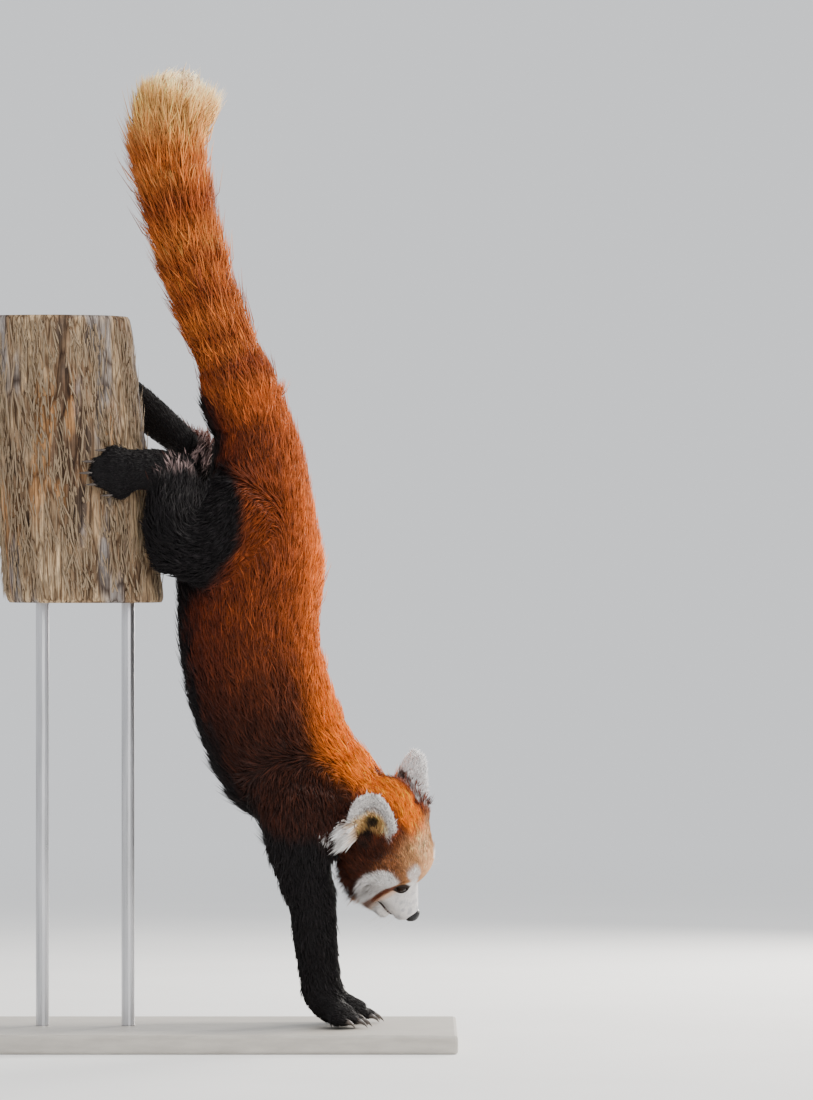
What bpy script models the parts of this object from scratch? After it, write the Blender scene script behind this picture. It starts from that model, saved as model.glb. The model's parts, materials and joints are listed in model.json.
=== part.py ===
"""Life-size museum model of a red panda climbing down a trunk head first.

Metres, +Z up. The origin is the middle of the underside of the stand's base. The panda's
back faces +X and its right side faces -Y. Its hind feet grip a cut length of trunk, its
hands stand on the base, and its tail rises. Every size is to the tips of the coat.
"""

import math
import random

import bmesh
import bpy
from mathutils import Matrix, Vector
from mathutils.bvhtree import BVHTree

GAP = 0.0003  # kept between pieces that touch
SLIVER = 0.000002  # shorter edges are closed after a cut
FLAT = math.radians(0.15)  # faces that turn less than this become one before they are split again
# EXACT leaves several of these curved skins empty when they are parted, so every Boolean is MANIFOLD
SOLVER = "MANIFOLD"
CREASE = math.radians(50)  # sharper edges are shaded as edges
FAR = 1.0  # a cutter this long passes the whole part

# Display stand
BASE_LENGTH, BASE_WIDTH, BASE_HEIGHT = 0.54, 0.32, 0.020
BASE_BEVEL = 0.003
BASE_BEVEL_STEPS = 2
ROD_RADIUS = 0.007
ROD_SPACING = 0.090
ROD_SIDES = 16

# Cut length of trunk that the hind feet grip. It leans away from the panda towards the top.
TRUNK_RADIUS = 0.083
TRUNK_LOW, TRUNK_HIGH = 0.465, 0.765
TRUNK_MIDDLE_X, TRUNK_MIDDLE_Z, TRUNK_LEAN = -0.1375, 0.603, -0.12
TRUNK_RIDGES, TRUNK_RIDGE_DEPTH = 9, 0.0022
TRUNK_FINE_RIDGES = 23
TRUNK_TWIST, TRUNK_FINE_TWIST = 2.5, -4.0  # how far the ridges turn over its length, in radians
TRUNK_SIDES, TRUNK_LEVELS = 40, 5

# Spine from the root of the tail to the back of the head: x, z, half depth, half width
SPINE = (
    (0.044, 0.690, 0.040, 0.040),
    (0.059, 0.632, 0.049, 0.047),
    (0.061, 0.572, 0.062, 0.062),
    (0.054, 0.509, 0.080, 0.072),
    (0.052, 0.425, 0.078, 0.075),
    (0.066, 0.360, 0.079, 0.074),
    (0.096, 0.296, 0.077, 0.071),
    (0.144, 0.256, 0.064, 0.062),
    (0.182, 0.236, 0.051, 0.055),
)
CHEST_CENTRE, CHEST_RADII = (0.112, 0.0, 0.238), (0.052, 0.056, 0.060)
SHOULDER_CENTRE, SHOULDER_RADII = (0.104, 0.040, 0.262), (0.050, 0.034, 0.064)
# Where the torso is divided: a point, the way up, and the names of the upper and lower part
TORSO_CUTS = (
    ((0.140, 0.0, 0.262), (-0.80, 0.0, 0.60), "body", "neck"),
    ((0.080, 0.0, 0.330), (-0.35, 0.0, 0.94), "body", "chest"),
    ((0.052, 0.0, 0.470), (0.0, 0.0, 1.0), "rump", "belly"),
)

# Limbs as x, distance from the middle plane, z, half width, half depth
ARM = (
    (0.106, 0.048, 0.262, 0.034, 0.048),
    (0.106, 0.050, 0.212, 0.032, 0.042),
    (0.110, 0.050, 0.180, 0.029, 0.034),
    (0.118, 0.048, 0.150, 0.026, 0.029),
    (0.121, 0.046, 0.112, 0.025, 0.027),
    (0.125, 0.044, 0.076, 0.024, 0.025),
    (0.131, 0.043, 0.040, 0.023, 0.023),
)
ELBOW_Z, WRIST_Z = 0.170, 0.062
SHOULDER_SHIFT = (-0.004, 0.012, 0.010)  # the arm's oval edge on the chest lies this far off its top
KNEE_SHIFT, KNEE_CUT = (0.004, 0.0, 0.018), (0.35, -0.1, -0.9)
THIGH_MARGIN, SHANK_MARGIN, ARM_MARGIN = 0.010, 0.012, 0.010
NEAR_THIGH = (
    (0.058, 0.034, 0.578, 0.036, 0.046),
    (0.040, 0.044, 0.556, 0.038, 0.048),
    (0.008, 0.060, 0.526, 0.033, 0.044),
    (-0.018, 0.071, 0.512, 0.028, 0.034),
)
NEAR_SHANK = (
    (-0.022, 0.072, 0.508, 0.026, 0.030),
    (-0.030, 0.074, 0.540, 0.024, 0.030),
    (-0.030, 0.070, 0.572, 0.021, 0.027),
    (-0.020, 0.062, 0.600, 0.017, 0.021),
)
FAR_THIGH = (
    (0.058, 0.034, 0.578, 0.036, 0.046),
    (0.040, 0.046, 0.562, 0.038, 0.046),
    (0.010, 0.064, 0.544, 0.032, 0.040),
    (-0.012, 0.074, 0.536, 0.027, 0.032),
)
FAR_SHANK = (
    (-0.014, 0.075, 0.536, 0.025, 0.028),
    (-0.016, 0.072, 0.570, 0.022, 0.027),
    (-0.010, 0.064, 0.606, 0.019, 0.024),
    (0.000, 0.054, 0.634, 0.016, 0.020),
)
# Hind feet: angle round the trunk from +X in degrees, height, half width, half thickness
NEAR_FOOT = (
    (20.0, 0.603, 0.019, 0.0150),
    (35.0, 0.605, 0.023, 0.0150),
    (50.0, 0.603, 0.024, 0.0135),
    (63.0, 0.601, 0.024, 0.0115),
)
FAR_FOOT = (
    (18.0, 0.630, 0.018, 0.0150),
    (32.0, 0.656, 0.022, 0.0150),
    (48.0, 0.680, 0.024, 0.0135),
    (61.0, 0.694, 0.024, 0.0115),
)
HEEL_CLEARANCE = 0.030  # how far the heel stands off the bark
SOLE_CLEARANCE = 0.0022  # how far the sole stands off the bark's ridges
TOE_RADIUS, TOE_SPREAD = 0.0085, 0.0112
TOE_LENGTHS = (0.018, 0.025, 0.028, 0.026, 0.020)
FINGER_SHARE, HIND_TOE_SHARE = 0.8, 0.85  # of those lengths, on the hands and on the feet
# Back of the hand from below the wrist: x from the wrist, y, z, half width, half height
PALM = (
    (0.005, 0.0435, 0.054, 0.0235, 0.0225),
    (0.014, 0.0440, 0.040, 0.0245, 0.0175),
    (0.028, 0.0450, 0.034, 0.0250, 0.0130),
)
WRIST_INSET = 0.001
HAND_REACH = {-1: 0.0, 1: 0.012}  # the far hand stands a little further forward
FINGER_ROOT_X, FINGER_ROOT_Z = 0.022, 0.0090
CLAW_LENGTH, CLAW_WIDTH, CLAW_HEIGHT, CLAW_BEND = 0.016, 0.0036, 0.0056, 62.0

# Skins over several masses: size of the voxels, rounds of smoothing, triangles
BODY_SKIN = (0.0045, 10, 1700)
LIMB_SPACE_SKIN = (0.006, 4, 300)
PAW_SKIN = (0.0015, 4, 440)
HEAD_DRAFT_SKIN, HEAD_SKIN = (0.0022, 10, 12000), (0.0018, 5, 1700)
EAR_SKIN = (0.0014, 3, 300)

# Tail from its root: x, z, radius to the tips of the coat
TAIL = (
    (0.044, 0.677, 0.048),
    (0.026, 0.730, 0.044),
    (0.006, 0.782, 0.041),
    (-0.011, 0.835, 0.042),
    (-0.024, 0.887, 0.044),
    (-0.033, 0.940, 0.046),
    (-0.026, 0.985, 0.045),
    (-0.018, 1.012, 0.036),
    (-0.013, 1.030, 0.012),
)
TAIL_LENGTH = 0.395
TAIL_ROOT_CORE, TAIL_CORE_SHARE, TAIL_CORE_BLEND = 0.042, 0.60, 0.07
TAIL_CORE_STATIONS = (0.0, 0.06, 0.14, 0.28, 0.44, 0.60, 0.76, 0.90, 0.97)
TAIL_SIDES = 14
TAIL_LOCK_ROWS, TAIL_LOCKS_ROUND, TAIL_LOCKS_FROM, TAIL_LOCKS_TO = 8, 6, 0.012, 0.78
TAIL_LOCK_LENGTH, TAIL_LOCK_WIDTH, TAIL_LOCK_THICKNESS = 0.084, 0.053, 0.013

# Head frame: where its middle is, where the nose points and where the right ear points
HEAD_CENTRE = Vector((0.193, -0.004, 0.214))
NOSE_WARD, RIGHT_WARD = Vector((0.45, 0.25, -0.86)), Vector((-0.46, -0.76, -0.46))
# Masses of the head in its own frame of right, forward and up: centre, radii
HEAD_MASSES = (
    ((0.0, -0.006, 0.003), (0.057, 0.058, 0.051)),
    ((0.0, -0.030, 0.016), (0.050, 0.040, 0.038)),
    ((0.0, -0.008, 0.020), (0.058, 0.036, 0.034)),
    ((0.0, 0.018, 0.010), (0.046, 0.038, 0.038)),
    ((0.0, 0.002, -0.010), (0.062, 0.038, 0.033)),
    ((0.0, 0.036, -0.017), (0.035, 0.027, 0.024)),
)
MUZZLE = (
    (0.022, -0.009, 0.036, 0.030),
    (0.046, -0.0120, 0.0275, 0.0265),
    (0.066, -0.0155, 0.0215, 0.0215),
    (0.0815, -0.0180, 0.0165, 0.0165),
)
JAW = (
    (0.010, -0.036, 0.031, 0.020),
    (0.040, -0.0410, 0.0250, 0.0150),
    (0.062, -0.0435, 0.0190, 0.0120),
    (0.0780, -0.0425, 0.0125, 0.0090),
)
EYE_PLACE, EYE_OUT, EYE_RADIUS = (0.0240, 0.0110), Vector((0.60, 0.76, 0.24)), 0.0078
ORBIT_RADIUS, ORBIT_DEPTH, EYE_SINK = 0.0170, 0.0030, 0.0070
LID_HALF_LENGTH, LID_HALF_HEIGHT, LID_THICKNESS = 0.0068, 0.0051, 0.0015
LID_SIDES = 18
NOSE_CENTRE, NOSE_RADII = (0.0, 0.0885, -0.0125), (0.0098, 0.0066, 0.0070)
NOSTRIL_X, NOSTRIL_RADIUS = 0.0045, 0.0018
MOUTH_WIDTH, MOUTH_FRONT, MOUTH_BACK, MOUTH_Z = 0.0185, 0.0800, 0.0540, -0.0340
MOUTH_DROOP, LIP_RADIUS, LIP_SINK, MOUTH_SLOT = 0.0030, 0.0028, 0.0010, 0.0018
EAR_LENGTH, EAR_HALF_WIDTH = 0.0500, 0.0225
EAR_CUP, EAR_THICKNESS, EAR_SINK = 0.017, 0.0065, 0.022
EAR_COLUMNS, EAR_ROWS, EAR_EDGE, EAR_LEAN = 8, 7, 0.003, 0.004
EAR_BOWL, EAR_BOWL_OUT, EAR_BOWL_UP = (0.0140, 0.0170, 0.0135), 0.0040, 0.0080
# Each ear is turned its own way: root, way up and way that the cup opens, x counted outwards
EARS = {
    1: (Vector((0.043, -0.030, 0.026)), Vector((0.10, -0.78, 0.58)), Vector((0.86, 0.38, 0.02))),
    -1: (Vector((0.046, -0.022, 0.022)), Vector((0.15, -0.80, 0.50)), Vector((0.80, 0.42, 0.28))),
}
EAR_TUFTS, EAR_TUFT_LENGTH, EAR_TUFT_WIDTH, EAR_TUFT_THICKNESS = 4, 0.046, 0.014, 0.0045
LOCK_ROOT = 0.004  # a lock starts this far below the surface that it grows from
LOCK_STEPS = (0.0, 0.30, 0.62, 1.0)  # places along a lock of the tail
TUFT_STEPS = (0.0, 0.35, 0.70, 1.0)  # places along a lock of an ear
CHEEK_LOCKS, CHEEK_LOCK_LENGTH, CHEEK_LOCK_WIDTH, CHEEK_LOCK_THICKNESS = 7, 0.042, 0.0180, 0.0050
CHEEK_FROM, CHEEK_TO, CHEEK_Y, CHEEK_STEP, CHEEK_Z = -60.0, 6.0, 0.018, 0.014, -0.012
CHEEK_LIFTS = (0.0006, 0.0026, 0.0060)
HEAD_NEIGHBOURS = ("neck", "chest", "upper_arm_right", "upper_arm_left")
TAIL_SEED, CHEEK_SEED, EAR_SEED = 7, 3, 11

COLOURS = {
    "rust": (0.33, 0.075, 0.018),
    "black_fur": (0.012, 0.009, 0.009),
    "face": (0.42, 0.20, 0.09),
    "ear": (0.78, 0.72, 0.62),
    "tail": (0.48, 0.15, 0.03),
    "eye": (0.015, 0.008, 0.005),
    "nose": (0.012, 0.012, 0.014),
    "bark": (0.30, 0.21, 0.13),
    "base": (0.62, 0.58, 0.52),
    "rod": (0.60, 0.60, 0.62),
}
ROUGHNESS = {"eye": 0.08, "nose": 0.35, "rod": 0.25, "base": 0.45}
FUR_ROUGHNESS = 0.85


def clear_scene():
    for obj in list(bpy.data.objects):
        bpy.data.objects.remove(obj)


def collection(name):
    made = bpy.data.collections.new(name)
    bpy.context.scene.collection.children.link(made)
    return made


def material(name):
    made = bpy.data.materials.new(name)
    made.use_nodes = True
    shader = made.node_tree.nodes["Principled BSDF"]
    shader.inputs["Base Color"].default_value = (*COLOURS[name], 1.0)
    shader.inputs["Roughness"].default_value = ROUGHNESS.get(name, FUR_ROUGHNESS)
    shader.inputs["Metallic"].default_value = 1.0 if name == "rod" else 0.0
    return made


# Mesh helpers


def to_object(name, shape, where):
    """A bmesh as an object of that collection, in triangles that point out."""
    bmesh.ops.triangulate(shape, faces=shape.faces)
    bmesh.ops.recalc_face_normals(shape, faces=shape.faces)
    mesh = bpy.data.meshes.new(name)
    shape.to_mesh(mesh)
    shape.free()
    obj = bpy.data.objects.new(name, mesh)
    where.objects.link(obj)
    return obj


def apply_modifiers(obj):
    graph = bpy.context.evaluated_depsgraph_get()
    mesh = bpy.data.meshes.new_from_object(obj.evaluated_get(graph))
    obj.modifiers.clear()
    obj.data = mesh
    return obj


def remove(*objects):
    for obj in objects:
        bpy.data.objects.remove(obj)


def boolean(obj, other, operation):
    """Applies a Boolean of obj with another object, or with a collection of them."""
    modifier = obj.modifiers.new(operation.lower(), "BOOLEAN")
    modifier.operation = operation
    modifier.solver = SOLVER
    if isinstance(other, bpy.types.Collection):
        modifier.operand_type = "COLLECTION"
        modifier.collection = other
    else:
        modifier.object = other
    return tidied(apply_modifiers(obj))


def place_of(item):
    """Where a vertex, edge or face lies, to sort it by."""
    if isinstance(item, bmesh.types.BMVert):
        return tuple(item.co)
    middle = sum((vertex.co for vertex in item.verts), Vector()) / len(item.verts)
    return tuple(round(value, 7) for value in middle)


def tidied(obj):
    """Triangles without slivers, facing out, in an order that is the same each run."""
    shape = bmesh.new()
    shape.from_mesh(obj.data)
    for items in (shape.verts, shape.edges, shape.faces):
        for rank, item in enumerate(sorted(items, key=place_of)):
            item.index = rank
        items.sort()
    bmesh.ops.dissolve_degenerate(shape, edges=shape.edges, dist=SLIVER)
    bmesh.ops.dissolve_limit(shape, angle_limit=FLAT, verts=shape.verts, edges=shape.edges)
    bmesh.ops.triangulate(shape, faces=shape.faces, quad_method="BEAUTY", ngon_method="BEAUTY")
    if shape.calc_volume(signed=True) < 0:
        bmesh.ops.reverse_faces(shape, faces=shape.faces)
    shape.to_mesh(obj.data)
    shape.free()
    return obj


def copied(obj):
    copy = obj.copy()
    copy.data = obj.data.copy()
    HELPERS.objects.link(copy)
    return copy


def grown(obj, distance=GAP):
    """A helper copy of obj whose surface stands off by that distance."""
    copy = copied(obj)
    normals = [vertex.normal.copy() for vertex in copy.data.vertices]
    for vertex, normal in zip(copy.data.vertices, normals):
        vertex.co += normal * distance
    return copy


def cut_by(obj, *skins, gap=GAP):
    """Takes each skin, with the gap, out of obj."""
    for skin in skins:
        cutter = grown(skin, gap)
        boolean(obj, cutter, "DIFFERENCE")
        remove(cutter)
    return keep_largest(obj)


def shells(shape):
    """The groups of faces of a bmesh that hang together. Surfaces that only touch stay apart."""
    left = set(shape.faces)
    while left:
        shell, front = set(), [left.pop()]
        while front:
            face = front.pop()
            shell.add(face)
            for edge in face.edges:
                if len(edge.link_faces) != 2:
                    continue
                for other in edge.link_faces:
                    if other in left:
                        left.discard(other)
                        front.append(other)
        yield shell


def keep_largest(obj):
    """Drops every closed surface of obj but the one that holds most."""
    shape = bmesh.new()
    shape.from_mesh(obj.data)
    found = list(shells(shape))
    if len(found) > 1:
        held = [abs(sum(signed_volume(face) for face in shell)) for shell in found]
        largest = found[held.index(max(held))]
        extra = [face for face in shape.faces if face not in largest]
        bmesh.ops.delete(shape, geom=extra, context="FACES")
        loose = [vertex for vertex in shape.verts if not vertex.link_faces]
        bmesh.ops.delete(shape, geom=loose, context="VERTS")
    shape.to_mesh(obj.data)
    shape.free()
    return obj


def signed_volume(face):
    first, *rest = [vertex.co for vertex in face.verts]
    return sum(first.dot(b.cross(c)) for b, c in zip(rest, rest[1:])) / 6


def catmull_rom(a, b, c, d, t):
    """The value at t on the curve from b to c."""
    square = (2 * a - 5 * b + 4 * c - d) * t**2
    cube = (3 * b - a - 3 * c + d) * t**3
    return 0.5 * (2 * b + (c - a) * t + square + cube)


def smooth_run(stations, steps):
    """Catmull-Rom points through the stations, each a row of numbers."""
    rows = []
    last = len(stations) - 1
    for i in range(last):
        p0, p1 = stations[max(i - 1, 0)], stations[i]
        p2, p3 = stations[i + 1], stations[min(i + 2, last)]
        for step in range(steps):
            t = step / steps
            rows.append([catmull_rom(*values, t) for values in zip(p0, p1, p2, p3)])
    rows.append(list(stations[last]))
    return rows


def loft(name, stations, side, where, segments=20, steps=3, round_ends=0.7, dome=(18, 40, 66)):
    """A closed tube of elliptical sections.

    A station is a centre's x, y and z, the half size along side, and the other half size.
    """
    rows = smooth_run(stations, steps)
    centres = [Vector(row[:3]) for row in rows]
    shape = bmesh.new()
    rings = []
    last = len(rows) - 1
    order = [(0, -1, math.radians(angle)) for angle in reversed(dome)]
    order += [(i, 0, 0.0) for i in range(len(rows))]
    order += [(last, 1, math.radians(angle)) for angle in dome]
    poles = []
    for index, sign, angle in order:
        ahead = centres[min(index + 1, last)] - centres[max(index - 1, 0)]
        ahead.normalize()
        across = (side - ahead * side.dot(ahead)).normalized()
        other = ahead.cross(across)
        _, _, _, half_side, half_other = rows[index]
        out = sign * round_ends * min(half_side, half_other)
        centre = centres[index] + ahead * out * math.sin(angle)
        shrink = math.cos(angle)
        rings.append(
            [
                shape.verts.new(
                    centre
                    + across * half_side * shrink * math.cos(turn)
                    + other * half_other * shrink * math.sin(turn)
                )
                for turn in (math.tau * k / segments for k in range(segments))
            ]
        )
        if sign and angle == math.radians(dome[-1]):
            poles.append(shape.verts.new(centres[index] + ahead * out))
    for low, high in zip(rings, rings[1:]):
        for k in range(segments):
            j = (k + 1) % segments
            shape.faces.new((low[k], low[j], high[j], high[k]))
    for ring, pole in ((rings[0], poles[0]), (rings[-1], poles[-1])):
        for k in range(segments):
            shape.faces.new((ring[k], ring[(k + 1) % segments], pole))
    return to_object(name, shape, where)


def ball(name, centre, radii, where, frame=None, segments=20):
    """An ellipsoid, in the given frame or in the part's own."""
    shape = bmesh.new()
    bmesh.ops.create_uvsphere(shape, u_segments=segments, v_segments=segments // 2, radius=1)
    place = Matrix.Translation(centre) @ Matrix.Diagonal((*radii, 1.0))
    shape.transform((frame or Matrix()) @ place)
    return to_object(name, shape, where)


def block(name, low, high, where, frame=None):
    """A box between two corners."""
    shape = bmesh.new()
    bmesh.ops.create_cube(shape, size=1.0)
    low, high = Vector(low), Vector(high)
    place = Matrix.Translation((low + high) / 2) @ Matrix.Diagonal((*(high - low), 1.0))
    shape.transform((frame or Matrix()) @ place)
    return to_object(name, shape, where)


def blend(name, pieces, size, where):
    """One surface over all the pieces: voxels, smoothed and thinned to about so many triangles."""
    voxel, smoothing, triangles = size
    shape = bmesh.new()
    for piece in pieces:
        shape.from_mesh(piece.data)
    remove(*pieces)
    obj = to_object(name, shape, where)
    remesh = obj.modifiers.new("remesh", "REMESH")
    remesh.mode = "VOXEL"
    remesh.voxel_size = voxel
    smooth = obj.modifiers.new("smooth", "SMOOTH")
    smooth.factor, smooth.iterations = 0.5, smoothing
    apply_modifiers(obj)
    faces = 2 * len(obj.data.polygons)
    thin = obj.modifiers.new("thin", "DECIMATE")
    thin.ratio = min(1.0, triangles / faces)
    thin.use_collapse_triangulate = True
    return apply_modifiers(obj)


def lock_shape(points, flat, width, thickness):
    """A flat, tapered lock of hair along the points, root first, with a low ridge on its outside."""
    shape = bmesh.new()
    rings = []
    for i, point in enumerate(points[:-1]):
        share = i / (len(points) - 1)
        ahead = (points[i + 1] - points[max(i - 1, 0)]).normalized()
        across = ahead.cross(flat[i]).normalized()
        up = across.cross(ahead)
        half = 0.5 * width * (0.75 + 0.25 * math.sin(math.pi * min(1.0, share * 1.7))) * (1 - share**3)
        deep = 0.5 * thickness * (1 - 0.6 * share)
        offsets = (across * half - up * deep, up * deep, -across * half - up * deep)
        rings.append([shape.verts.new(point + offset) for offset in offsets])
    tip = shape.verts.new(points[-1])
    for low, high in zip(rings, rings[1:]):
        for k in range(3):
            j = (k + 1) % 3
            shape.faces.new((low[k], low[j], high[j]))
            shape.faces.new((low[k], high[j], high[k]))
    for k in range(3):
        shape.faces.new((rings[-1][k], rings[-1][(k + 1) % 3], tip))
    shape.faces.new(rings[0])
    return shape


def join_locks(node, locks, *skins):
    """Fuses lock bmeshes to their node, each cut clear of the skins of other nodes."""
    group = collection("locks_of_" + node.name)
    made = [to_object(f"lock_{i}", shape, group) for i, shape in enumerate(locks)]
    for skin in skins:
        cutter = grown(skin, 2 * GAP)
        for lock in made:
            boolean(lock, cutter, "DIFFERENCE")
        remove(cutter)
    boolean(node, group, "UNION")
    remove(*made)
    bpy.data.collections.remove(group)
    return keep_largest(node)


def finish(obj, name, paint):
    obj.name = name
    obj.data.name = name
    if obj.name not in PARTS.objects:
        PARTS.objects.link(obj)
    if obj.name in HELPERS.objects:
        HELPERS.objects.unlink(obj)
    keep_largest(obj)
    obj.data.shade_smooth()
    obj.data.set_sharp_from_angle(angle=CREASE)
    obj.data.materials.clear()
    obj.data.materials.append(MATERIALS[paint])
    return obj


def part_off(whole, name, region, paint):
    """Takes what lies in the region off the whole, as a part of its own."""
    piece = copied(whole)
    boolean(piece, region, "INTERSECT")
    cut_by(whole, region)
    remove(region)
    return finish(piece, name, paint)


# Body


def trunk_axis(z):
    return Vector((TRUNK_MIDDLE_X + (z - TRUNK_MIDDLE_Z) * TRUNK_LEAN, 0.0, z))


def mirrored(stations, side):
    """Limb stations with their distance from the middle plane made a y."""
    return [(x, side * y, z, a, b) for x, y, z, a, b in stations]


def padded(stations, extra):
    return [(x, y, z, a + extra, b + extra) for x, y, z, a, b in stations]


SIDEWAYS = Vector((0.0, 1.0, 0.0))
SIDES = (("right", -1), ("left", 1))
THIGHS = {-1: NEAR_THIGH, 1: FAR_THIGH}
SHANKS = {-1: NEAR_SHANK, 1: FAR_SHANK}
FEET = {-1: NEAR_FOOT, 1: FAR_FOOT}


def body_blank():
    """Torso, neck, arms and legs as one closed surface."""
    spine = [(x, 0.0, z, width, depth) for x, z, depth, width in SPINE]
    pieces = [
        loft("spine", spine, SIDEWAYS, HELPERS, segments=28, steps=3),
        ball("chest", CHEST_CENTRE, CHEST_RADII, HELPERS),
    ]
    for _, side in SIDES:
        x, y, z = SHOULDER_CENTRE
        pieces.append(ball("shoulder", (x, side * y, z), SHOULDER_RADII, HELPERS))
        for stations in (ARM, THIGHS[side], SHANKS[side]):
            pieces.append(loft("limb", mirrored(stations, side), SIDEWAYS, HELPERS))
    return blend("blank", pieces, BODY_SKIN, HELPERS)


def leg_region(side):
    """The space round one hind leg, with an oval edge on the flank."""
    thigh = padded(mirrored(THIGHS[side], side), THIGH_MARGIN)[1:]
    shank = padded(mirrored(SHANKS[side], side), SHANK_MARGIN)
    pieces = [
        loft("thigh_space", thigh, SIDEWAYS, HELPERS, segments=24),
        loft("shank_space", shank, SIDEWAYS, HELPERS, segments=24),
    ]
    return blend("leg_space", pieces, LIMB_SPACE_SKIN, HELPERS)


def arm_region(side):
    """The space round one arm, with an oval edge on the chest."""
    stations = padded(mirrored(ARM, side), ARM_MARGIN)
    x, y, z, a, b = stations[0]
    forward, out, up = SHOULDER_SHIFT
    stations[0] = (x + forward, y + side * out, z + up, a, b)
    space = loft("arm_space", stations, SIDEWAYS, HELPERS, segments=24)
    return blend("arm_space", [space], LIMB_SPACE_SKIN, HELPERS)


def cut_across(piece, point, normal, upper_name, lower_name, paint):
    """Divides a piece at a plane, leaving the gap. The lower part is the one behind the normal."""
    frame = Matrix.Translation(point) @ normal.to_track_quat("Z", "Y").to_matrix().to_4x4()
    reach = FAR / 2
    above = block("above", (-reach, -reach, GAP / 2), (reach, reach, reach), HELPERS, frame)
    below = block("below", (-reach, -reach, -reach), (reach, reach, -GAP / 2), HELPERS, frame)
    lower = copied(piece)
    boolean(piece, above, "INTERSECT")
    boolean(lower, below, "INTERSECT")
    remove(above, below)
    finish(piece, upper_name, paint)
    return finish(lower, lower_name, paint)


def build_body():
    """Everything of flesh but the head, hands, feet and tail. Returns the surface before its cuts."""
    blank = body_blank()
    skin = copied(blank)
    for name, side in SIDES:
        leg = part_off(blank, "hind_leg", leg_region(side), "black_fur")
        knee = Vector(mirrored(SHANKS[side], side)[0][:3]) + Vector(KNEE_SHIFT)
        x, y, z = KNEE_CUT
        along = Vector((x, side * y, z)).normalized()
        cut_across(leg, knee, along, f"thigh_{name}", f"shank_{name}", "black_fur")
        arm = part_off(blank, "arm", arm_region(side), "black_fur")
        elbow = Vector((0.0, 0.0, ELBOW_Z))
        cut_across(arm, elbow, Vector((0, 0, 1)), f"upper_arm_{name}", f"forearm_{name}", "black_fur")
    tail_root, root_axis = tail_frame(0.0)
    waste = cut_across(blank, tail_root, -root_axis, "body", "waste", "rust")
    remove(waste)
    for point, normal, upper, lower in TORSO_CUTS:
        cut_across(blank, Vector(point), Vector(normal).normalized(), upper, lower, "rust")
    return skin


# Hands, feet and claws


def toe(name, start, ahead, down, length, where):
    """A furry toe, and its claw, which curves down from the tip."""
    tip = start + ahead * length
    across = ahead.cross(down).normalized()
    stations = [
        (*start, TOE_RADIUS, TOE_RADIUS),
        (*(start + ahead * length * 0.55 - down * 0.0015), TOE_RADIUS * 1.04, TOE_RADIUS),
        (*tip, TOE_RADIUS * 0.86, TOE_RADIUS * 0.80),
    ]
    claw = []
    point = tip - ahead * TOE_RADIUS * 0.2
    for k in range(4):
        claw.append(point)
        turn = Matrix.Rotation(math.radians(CLAW_BEND) * (k / 3 + 0.15), 3, across)
        point = point + (turn @ ahead) * CLAW_LENGTH / 3
    return [
        loft(name, stations, across, where, segments=12, steps=2),
        to_object(name + "_claw", lock_shape(claw, [-down] * 4, CLAW_WIDTH, CLAW_HEIGHT), where),
    ]


def fuse(name, palm, toes, paint):
    """One surface over palm and toes, with the claws joined to it. Also returns it without them."""
    paw = blend(name, [palm, *toes[0::2]], PAW_SKIN, HELPERS)
    bare = copied(paw)
    claws = collection("claws_of_" + name)
    for claw in toes[1::2]:
        HELPERS.objects.unlink(claw)
        claws.objects.link(claw)
    boolean(paw, claws, "UNION")
    remove(*toes[1::2])
    bpy.data.collections.remove(claws)
    return finish(paw, name, paint), bare


def build_hand(name, side):
    """A hand flat on the base, its wrist cut level."""
    reach = HAND_REACH[side]
    x, y, z, a, b = ARM[-2]
    stations = [(x, side * y, z, a - WRIST_INSET, b - WRIST_INSET)]
    for share, (ahead, out, height, width, depth) in zip((0.0, 0.5, 1.0), PALM):
        stations.append((x + ahead + reach * share, side * out, height, width, depth))
    palm = loft(f"hand_{name}", stations, SIDEWAYS, HELPERS, segments=16, steps=2)
    toes = []
    middle = side * PALM[-1][1]
    for i, length in enumerate(TOE_LENGTHS):
        spread = i - 2
        root_x = x + FINGER_ROOT_X + reach - 0.002 * spread**2
        start = Vector((root_x, middle + spread * TOE_SPREAD, BASE_HEIGHT + FINGER_ROOT_Z))
        ahead = Vector((1.0, 0.16 * spread, 0.0)).normalized()
        toes += toe(f"finger_{i}", start, ahead, Vector((0, 0, -1)), length * FINGER_SHARE, HELPERS)
    hand, paw = fuse(f"hand_{name}", palm, toes, "black_fur")
    remove(paw)
    top = block("wrist", (-FAR, -FAR, WRIST_Z - GAP / 2), (FAR, FAR, FAR), HELPERS)
    sole = block("sole", (-FAR, -FAR, -FAR), (FAR, FAR, BASE_HEIGHT + GAP), HELPERS)
    for cutter in (top, sole):
        boolean(hand, cutter, "DIFFERENCE")
    remove(top, sole)
    keep_largest(hand)
    forearm = PARTS.objects[f"forearm_{name}"]
    below = block("below", (-FAR, -FAR, -FAR), (FAR, FAR, WRIST_Z + GAP / 2), HELPERS)
    boolean(forearm, below, "DIFFERENCE")
    remove(below)
    return keep_largest(forearm)


def on_trunk(angle, z, stand_off, side):
    """A point off the bark: the angle in degrees from +X, turned to that side."""
    turn = math.radians(angle) * side
    return trunk_axis(z) + Vector((math.cos(turn), math.sin(turn), 0)) * (TRUNK_RADIUS + stand_off)


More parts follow.
